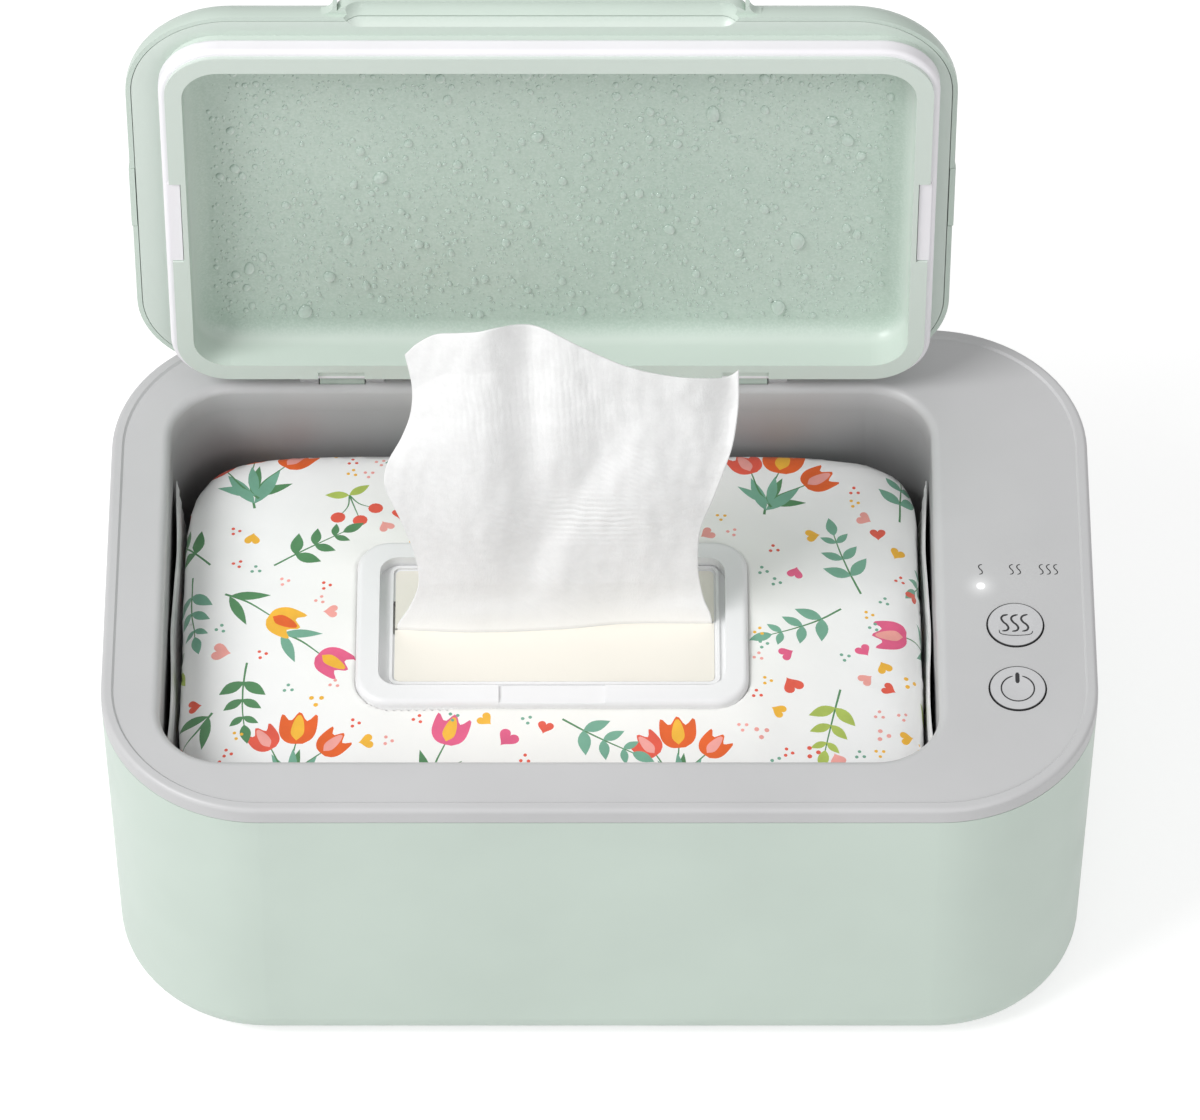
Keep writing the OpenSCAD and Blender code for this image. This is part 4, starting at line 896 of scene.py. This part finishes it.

# Beads of condensation on the floor of the lid's recess

# Painted light: a drop's colour follows which way its surface faces, dark where the light comes in
# and bright opposite, for the light it gathers
water = Paint("water_beads")
facing = water.add("ShaderNodeVectorMath", operation="DOT_PRODUCT")
water.link(water.add("ShaderNodeTexCoord").outputs["Normal"], facing.inputs[0])
facing.inputs[1].default_value = (0.55, 0.10, -0.83)
painted_light_ramp = water.add("ShaderNodeValToRGB")
water.link(water.ranged(facing.outputs["Value"], -1.0, 1.0, 0.0, 1.0), painted_light_ramp.inputs[0])
ramp = painted_light_ramp.color_ramp
ramp.elements[0].position, ramp.elements[0].color = 0.02, lin(150, 170, 158)
ramp.elements[1].position, ramp.elements[1].color = 0.98, lin(214, 226, 218)
for position, tone in (
    (0.30, lin(182, 200, 189)), (0.50, lin(198, 214, 204)), (0.80, lin(240, 246, 242)),
):
    ramp.elements.new(position).color = tone
drift = water.ranged(water.noise(260.0), 0.3, 0.7, 0.0, 0.25)
water.colour(water.mix(drift, painted_light_ramp.outputs[0], lin(206, 219, 211)))
water.set(Roughness=0.06, Coat_Weight=0.6, Coat_Roughness=0.03)


# How many beads there are between two radii
BEAD_SIZES = (
    (12, 0.0015, 0.0021), (120, 0.0008, 0.0013), (620, 0.00045, 0.0008), (2600, 0.00018, 0.00042),
)
BEAD_SUNK = 0.00006
BEAD_LOW = 0.12  # how far a bead's top hangs below its middle, in radii


def bead_spots():
    """Places, radii and shapes of beads that keep clear of each other."""
    spots = []
    taken = {}
    cell = 0.004  # of the grid that finds a bead's neighbours
    draw = random.Random(5)
    inset = 0.0052
    x0, x1 = RECESS_X[0] + inset, RECESS_X[1] - inset
    z0, z1 = RECESS_Z[0] + inset, RECESS_Z[1] - inset
    for count, low, high in BEAD_SIZES:
        made = tries = 0
        while made < count and tries < count * 30:
            tries += 1
            r = draw.uniform(low, high)
            x, z = draw.uniform(x0 + r, x1 - r), draw.uniform(z0 + r * 1.5, z1 - r * 1.5)
            key = (int(x / cell), int(z / cell))
            close = [
                spot for i in (-1, 0, 1) for j in (-1, 0, 1)
                for spot in taken.get((key[0] + i, key[1] + j), ())
            ]
            if any(math.hypot(x - a, (z - b) / 1.4) < (r + c) * 1.08 for a, b, c in close):
                continue
            taken.setdefault(key, []).append((x, z, r))
            stretch, tilt = draw.uniform(1.15, 1.55), draw.uniform(-0.25, 0.25)
            spots.append((x, z, r, stretch, tilt, draw.random()))
            made += 1
    return spots


def beads():
    """Flattened drops of many sizes, longer downwards than across."""
    pts, faces = [], []
    for x, z, r, stretch, tilt, phase in bead_spots():
        seg, rings = (18, 6) if r > 0.0008 else (10, 3) if r > 0.00045 else (6, 2)
        high = r * 0.60
        base = len(pts)
        c, s = math.cos(tilt), math.sin(tilt)
        for k in range(rings):
            f = math.pi / 2 * k / rings
            for i in range(seg):
                t = 2 * math.pi * i / seg
                wob = 1 + 0.06 * math.sin(2 * t + phase * 6) + 0.05 * math.sin(3 * t + phase * 11)
                u = r * math.cos(f) * math.cos(t) * wob
                v = r * stretch * math.cos(f) * math.sin(t) * wob - r * BEAD_LOW * math.sin(f)
                h = high * math.sin(f) - (BEAD_SUNK if k == 0 else 0)
                pts.append((x + c * u - s * v, FLOOR_Y - h, z + s * u + c * v))
        top = len(pts)
        pts.append((x, FLOOR_Y - high, z - r * BEAD_LOW))
        low = len(pts)
        pts.append((x, FLOOR_Y + BEAD_SUNK, z))
        for k in range(rings - 1):
            for i in range(seg):
                j = (i + 1) % seg
                a, b = base + k * seg, base + (k + 1) * seg
                faces.append((a + i, a + j, b + j, b + i))
        for i in range(seg):
            j = (i + 1) % seg
            a = base + (rings - 1) * seg
            faces.append((a + i, a + j, top))
            faces.append((base + j, base + i, low))
    return pts, faces


piece("condensation", *beads(), "lid", water, "mint_tray")

# The wipe that is drawn up through the pack

SLIT_DEEP = 0.0010


def bell(x, width):
    return math.exp(-((x / width) ** 2))


def wipe_depth(u, t):
    """How far the cloth stands towards the eye at image column u, with t up from foot to top."""
    s = (u - 500.0) / 300.0
    hill = 0.0050 * bell(u - (470 + 22 * t), 46) * (0.25 + 0.75 * t)
    valley = -0.0058 * bell(u - (533 - 10 * t), 24) * (0.15 + 0.85 * t)
    valley *= 1 - 0.55 * bell(t - 0.15, 0.2)
    right = 0.0046 * bell(u - (600 + 50 * t), 62) * (0.35 + 0.65 * t)
    groove = -0.0030 * bell(u - (650 - 150 * (1 - t)), 26) * bell(t - 0.45, 0.34)
    edge = -0.0050 * bell(u - (735 - 25 * (1 - t)), 24) * t
    belly = 0.0050 * math.sin(math.pi * min(1.0, t * 1.15)) * (1 - s * s * 0.6)
    hem = 0.0016 * bell(t - 0.055, 0.05) * (0.6 + 0.4 * math.sin(u / 34.0))
    slow = 0.0012 * noise.noise(Vector((u / 48.0, t * 4.2, 3.1)))
    small = 0.00045 * noise.noise(Vector((u / 14.0, t * 13.0, 8.7)))
    return (hill + valley + right + groove + edge + belly + slow + small) * min(1.0, t * 6) + hem


# Patches of creases: their middle and reach across and up, their turn and their depth
CRINKLES = (
    (512, 0.36, 24, 0.07, 0.35, 0.00016), (590, 0.40, 60, 0.10, -0.10, 0.00013),
    (556, 0.14, 40, 0.10, 0.55, 0.00015), (640, 0.62, 42, 0.12, 0.45, 0.00010),
    (470, 0.75, 40, 0.20, 1.45, 0.00008), (560, 0.80, 60, 0.20, 1.5, 0.00007),
)


def crinkle(u, v):
    """Fine creases in a few patches."""
    total = 0.0
    for cu, cv, ru, rv, turn, size in CRINKLES:
        w = bell(u - cu, ru) * bell(v - cv, rv)
        if w < 0.03:
            continue
        along = (u - cu) * math.sin(turn) + (v - cv) * 300 * math.cos(turn)
        phase = 2.5 * noise.noise(Vector((u / 20.0, v * 14.0, cu)))
        total += size * w * math.sin(along * 1.05 + phase)
    return total


def build_wipe():
    """Grid between the outline's four sides, set back to the cloth's place behind each point."""
    left, right = spline(WIPE_LEFT, WIPE_V + 1), spline(WIPE_RIGHT, WIPE_V + 1)
    top, bottom = spline(WIPE_TOP, WIPE_U + 1), spline(WIPE_BOTTOM, WIPE_U + 1)
    corners = (left[0], right[0], left[-1], right[-1])
    pts = []
    for j in range(WIPE_V + 1):
        t = j / WIPE_V
        for i in range(WIPE_U + 1):
            s = i / WIPE_U
            weights = ((1 - s) * (1 - t), s * (1 - t), (1 - s) * t, s * t)
            p = (1 - s) * left[j] + s * right[j] + (1 - t) * bottom[i] + t * top[i]
            p = p - sum(w * corner for w, corner in zip(weights, corners))
            d = ray(p[0], p[1])
            y = foot[i][1] + 0.012 * t * t - 0.001 * t
            place = EYE + d * ((y - EYE.y) / d.y)
            pts.append(place + BACK * (wipe_depth(p[0], t) + crinkle(p[0], t)))
    row = WIPE_U + 1
    # One more row below, down into the slit
    pts = [p - Vector((0, 0, SLIT_DEEP)) for p in pts[:row]] + pts
    faces = [
        (j * row + i, j * row + i + 1, (j + 1) * row + i + 1, (j + 1) * row + i)
        for j in range(WIPE_V + 1)
        for i in range(WIPE_U)
    ]
    return pts, faces


# Thin white cloth with painted light and shade: paler in its lower part, which the lamps reach
# less, darker higher up, and a painted shadow where it leaves the slit
cloth = Paint("wipe_cloth")
tone = cloth.ranged(cloth.noise(420.0, 5.0, 0.65), 0.3, 0.7, 0.0, 1.0)
high = cloth.ranged(cloth.component(2), 0.086, 0.122, 0.0, 1.0)
thin = cloth.mix(tone, lin(250, 250, 250), lin(254, 254, 254))
tone_and_painted_light = cloth.mix(high, thin, cloth.mix(tone, lin(234, 234, 234), lin(241, 241, 241)))
foot_shadow_fade = cloth.ranged(cloth.component(2), 0.0812, 0.0836, 0.0, 1.0)
cloth.colour(cloth.mix(foot_shadow_fade, lin(216, 216, 214), tone_and_painted_light))
# Painted light: the cloth glows faintly, for light that scatters through it
cloth.set(Emission_Color=(1.0, 1.0, 1.0, 1.0), Emission_Strength=0.045)
fibres = cloth.noise(1500.0, 3.0, 0.6, cloth.stretch((1.0, 0.35, 0.35)))
cross = cloth.noise(900.0, 4.0, 0.6, cloth.stretch((0.25, 1.0, 2.2)))
cloth.bump(cloth.math("ADD", fibres, cross), 0.00009, 0.8)
cloth.set(Roughness=0.72, Subsurface_Weight=0.12, Subsurface_Scale=0.004)
cloth.bsdf.inputs["Subsurface Radius"].default_value = (1.0, 1.0, 1.0)
cloth.set(Sheen_Weight=0.15, Sheen_Roughness=0.5)

wipe = piece("wipe_sheet", *build_wipe(), "root", cloth, "wipe_cloth")
thick = wipe.modifiers.new("thickness", "SOLIDIFY")
thick.thickness = 0.0004
thick.offset = 0.0
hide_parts("wipe")
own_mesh(wipe)

# Floor, light and camera

FLOOR_HALF, FLOOR_CUTS = 6.0, 8
PAPER, PAPER_GLOW = 0.62, 0.60
SKY = 0.505
AIM = (0.0, 0.0, 0.08)


def seen_by(tree, *kinds):
    """1 for rays of the kinds that Light Path names, and 0 for all others."""
    path = tree.nodes.new("ShaderNodeLightPath")
    seen = path.outputs[kinds[0]]
    for kind in kinds[1:]:
        most = tree.nodes.new("ShaderNodeMath")
        most.operation = "MAXIMUM"
        tree.links.new(seen, most.inputs[0])
        tree.links.new(path.outputs[kind], most.inputs[1])
        seen = most.outputs[0]
    return seen


def floor_material():
    """Matte paper that lights up for the camera, and takes shadows."""
    mat = bpy.data.materials.new("floor_white")
    mat.use_nodes = True
    tree = mat.node_tree
    tree.nodes.clear()
    out = tree.nodes.new("ShaderNodeOutputMaterial")
    add = tree.nodes.new("ShaderNodeAddShader")
    paper = tree.nodes.new("ShaderNodeBsdfDiffuse")
    paper.inputs["Color"].default_value = (PAPER, PAPER, PAPER, 1.0)
    light = tree.nodes.new("ShaderNodeEmission")
    level = tree.nodes.new("ShaderNodeMath")
    level.operation = "MULTIPLY"
    level.inputs[1].default_value = PAPER_GLOW
    seen = seen_by(tree, "Is Camera Ray", "Is Glossy Ray", "Is Transmission Ray")
    tree.links.new(seen, level.inputs[0])
    tree.links.new(level.outputs[0], light.inputs["Strength"])
    tree.links.new(paper.outputs[0], add.inputs[0])
    tree.links.new(light.outputs[0], add.inputs[1])
    tree.links.new(add.outputs[0], out.inputs[0])
    return mat


def studio_world():
    """Even soft light, white where the camera sees past the floor."""
    world = bpy.data.worlds.new("studio")
    world.use_nodes = True
    tree = world.node_tree
    tree.nodes.clear()
    out = tree.nodes.new("ShaderNodeOutputWorld")
    mix = tree.nodes.new("ShaderNodeMixShader")
    tree.links.new(seen_by(tree, "Is Camera Ray"), mix.inputs[0])
    for socket, strength in ((1, SKY), (2, 1.0)):
        light = tree.nodes.new("ShaderNodeBackground")
        light.inputs["Color"].default_value = (1.0, 1.0, 1.0, 1.0)
        light.inputs["Strength"].default_value = strength
        tree.links.new(light.outputs[0], mix.inputs[socket])
    tree.links.new(mix.outputs[0], out.inputs[0])
    return world


floor_mesh = bpy.data.meshes.new("floor")
grid = np.linspace(-FLOOR_HALF, FLOOR_HALF, FLOOR_CUTS + 1)
row = FLOOR_CUTS + 1
floor_mesh.from_pydata(
    [(x, y, 0.0) for y in grid for x in grid], [],
    [(j * row + i, j * row + i + 1, (j + 1) * row + i + 1, (j + 1) * row + i)
     for j in range(FLOOR_CUTS) for i in range(FLOOR_CUTS)],
)
floor = new_object("floor", floor_mesh)
floor_mesh.materials.append(floor_material())
scene.world = studio_world()


def lamp(name, place, size, watts):
    """A soft rectangular lamp that faces the object."""
    data = bpy.data.lights.new(name, "AREA")
    data.shape = "RECTANGLE"
    data.size, data.size_y = size
    data.energy = watts
    obj = new_object(name, data)
    obj.location = place
    obj.rotation_mode = "QUATERNION"
    obj.rotation_quaternion = (Vector(place) - Vector(AIM)).to_track_quat("Z", "Y")


lamp("key", (-1.30, -0.70, 1.60), (1.0, 1.0), 29.0)
lamp("fill", (0.9, -1.75, 1.10), (1.3, 1.0), 8.6)

camera_data = bpy.data.cameras.new("camera")
camera = new_object("camera", camera_data)
camera_data.sensor_fit = "HORIZONTAL"
camera_data.sensor_width = SENSOR
camera_data.lens = LENS
camera_data.clip_start, camera_data.clip_end = 0.05, 50.0
camera.location = EYE
camera.rotation_mode = "QUATERNION"
camera.rotation_quaternion = BACK.to_track_quat("Z", "Y")
scene.camera = camera
scene.view_settings.view_transform = "Standard"
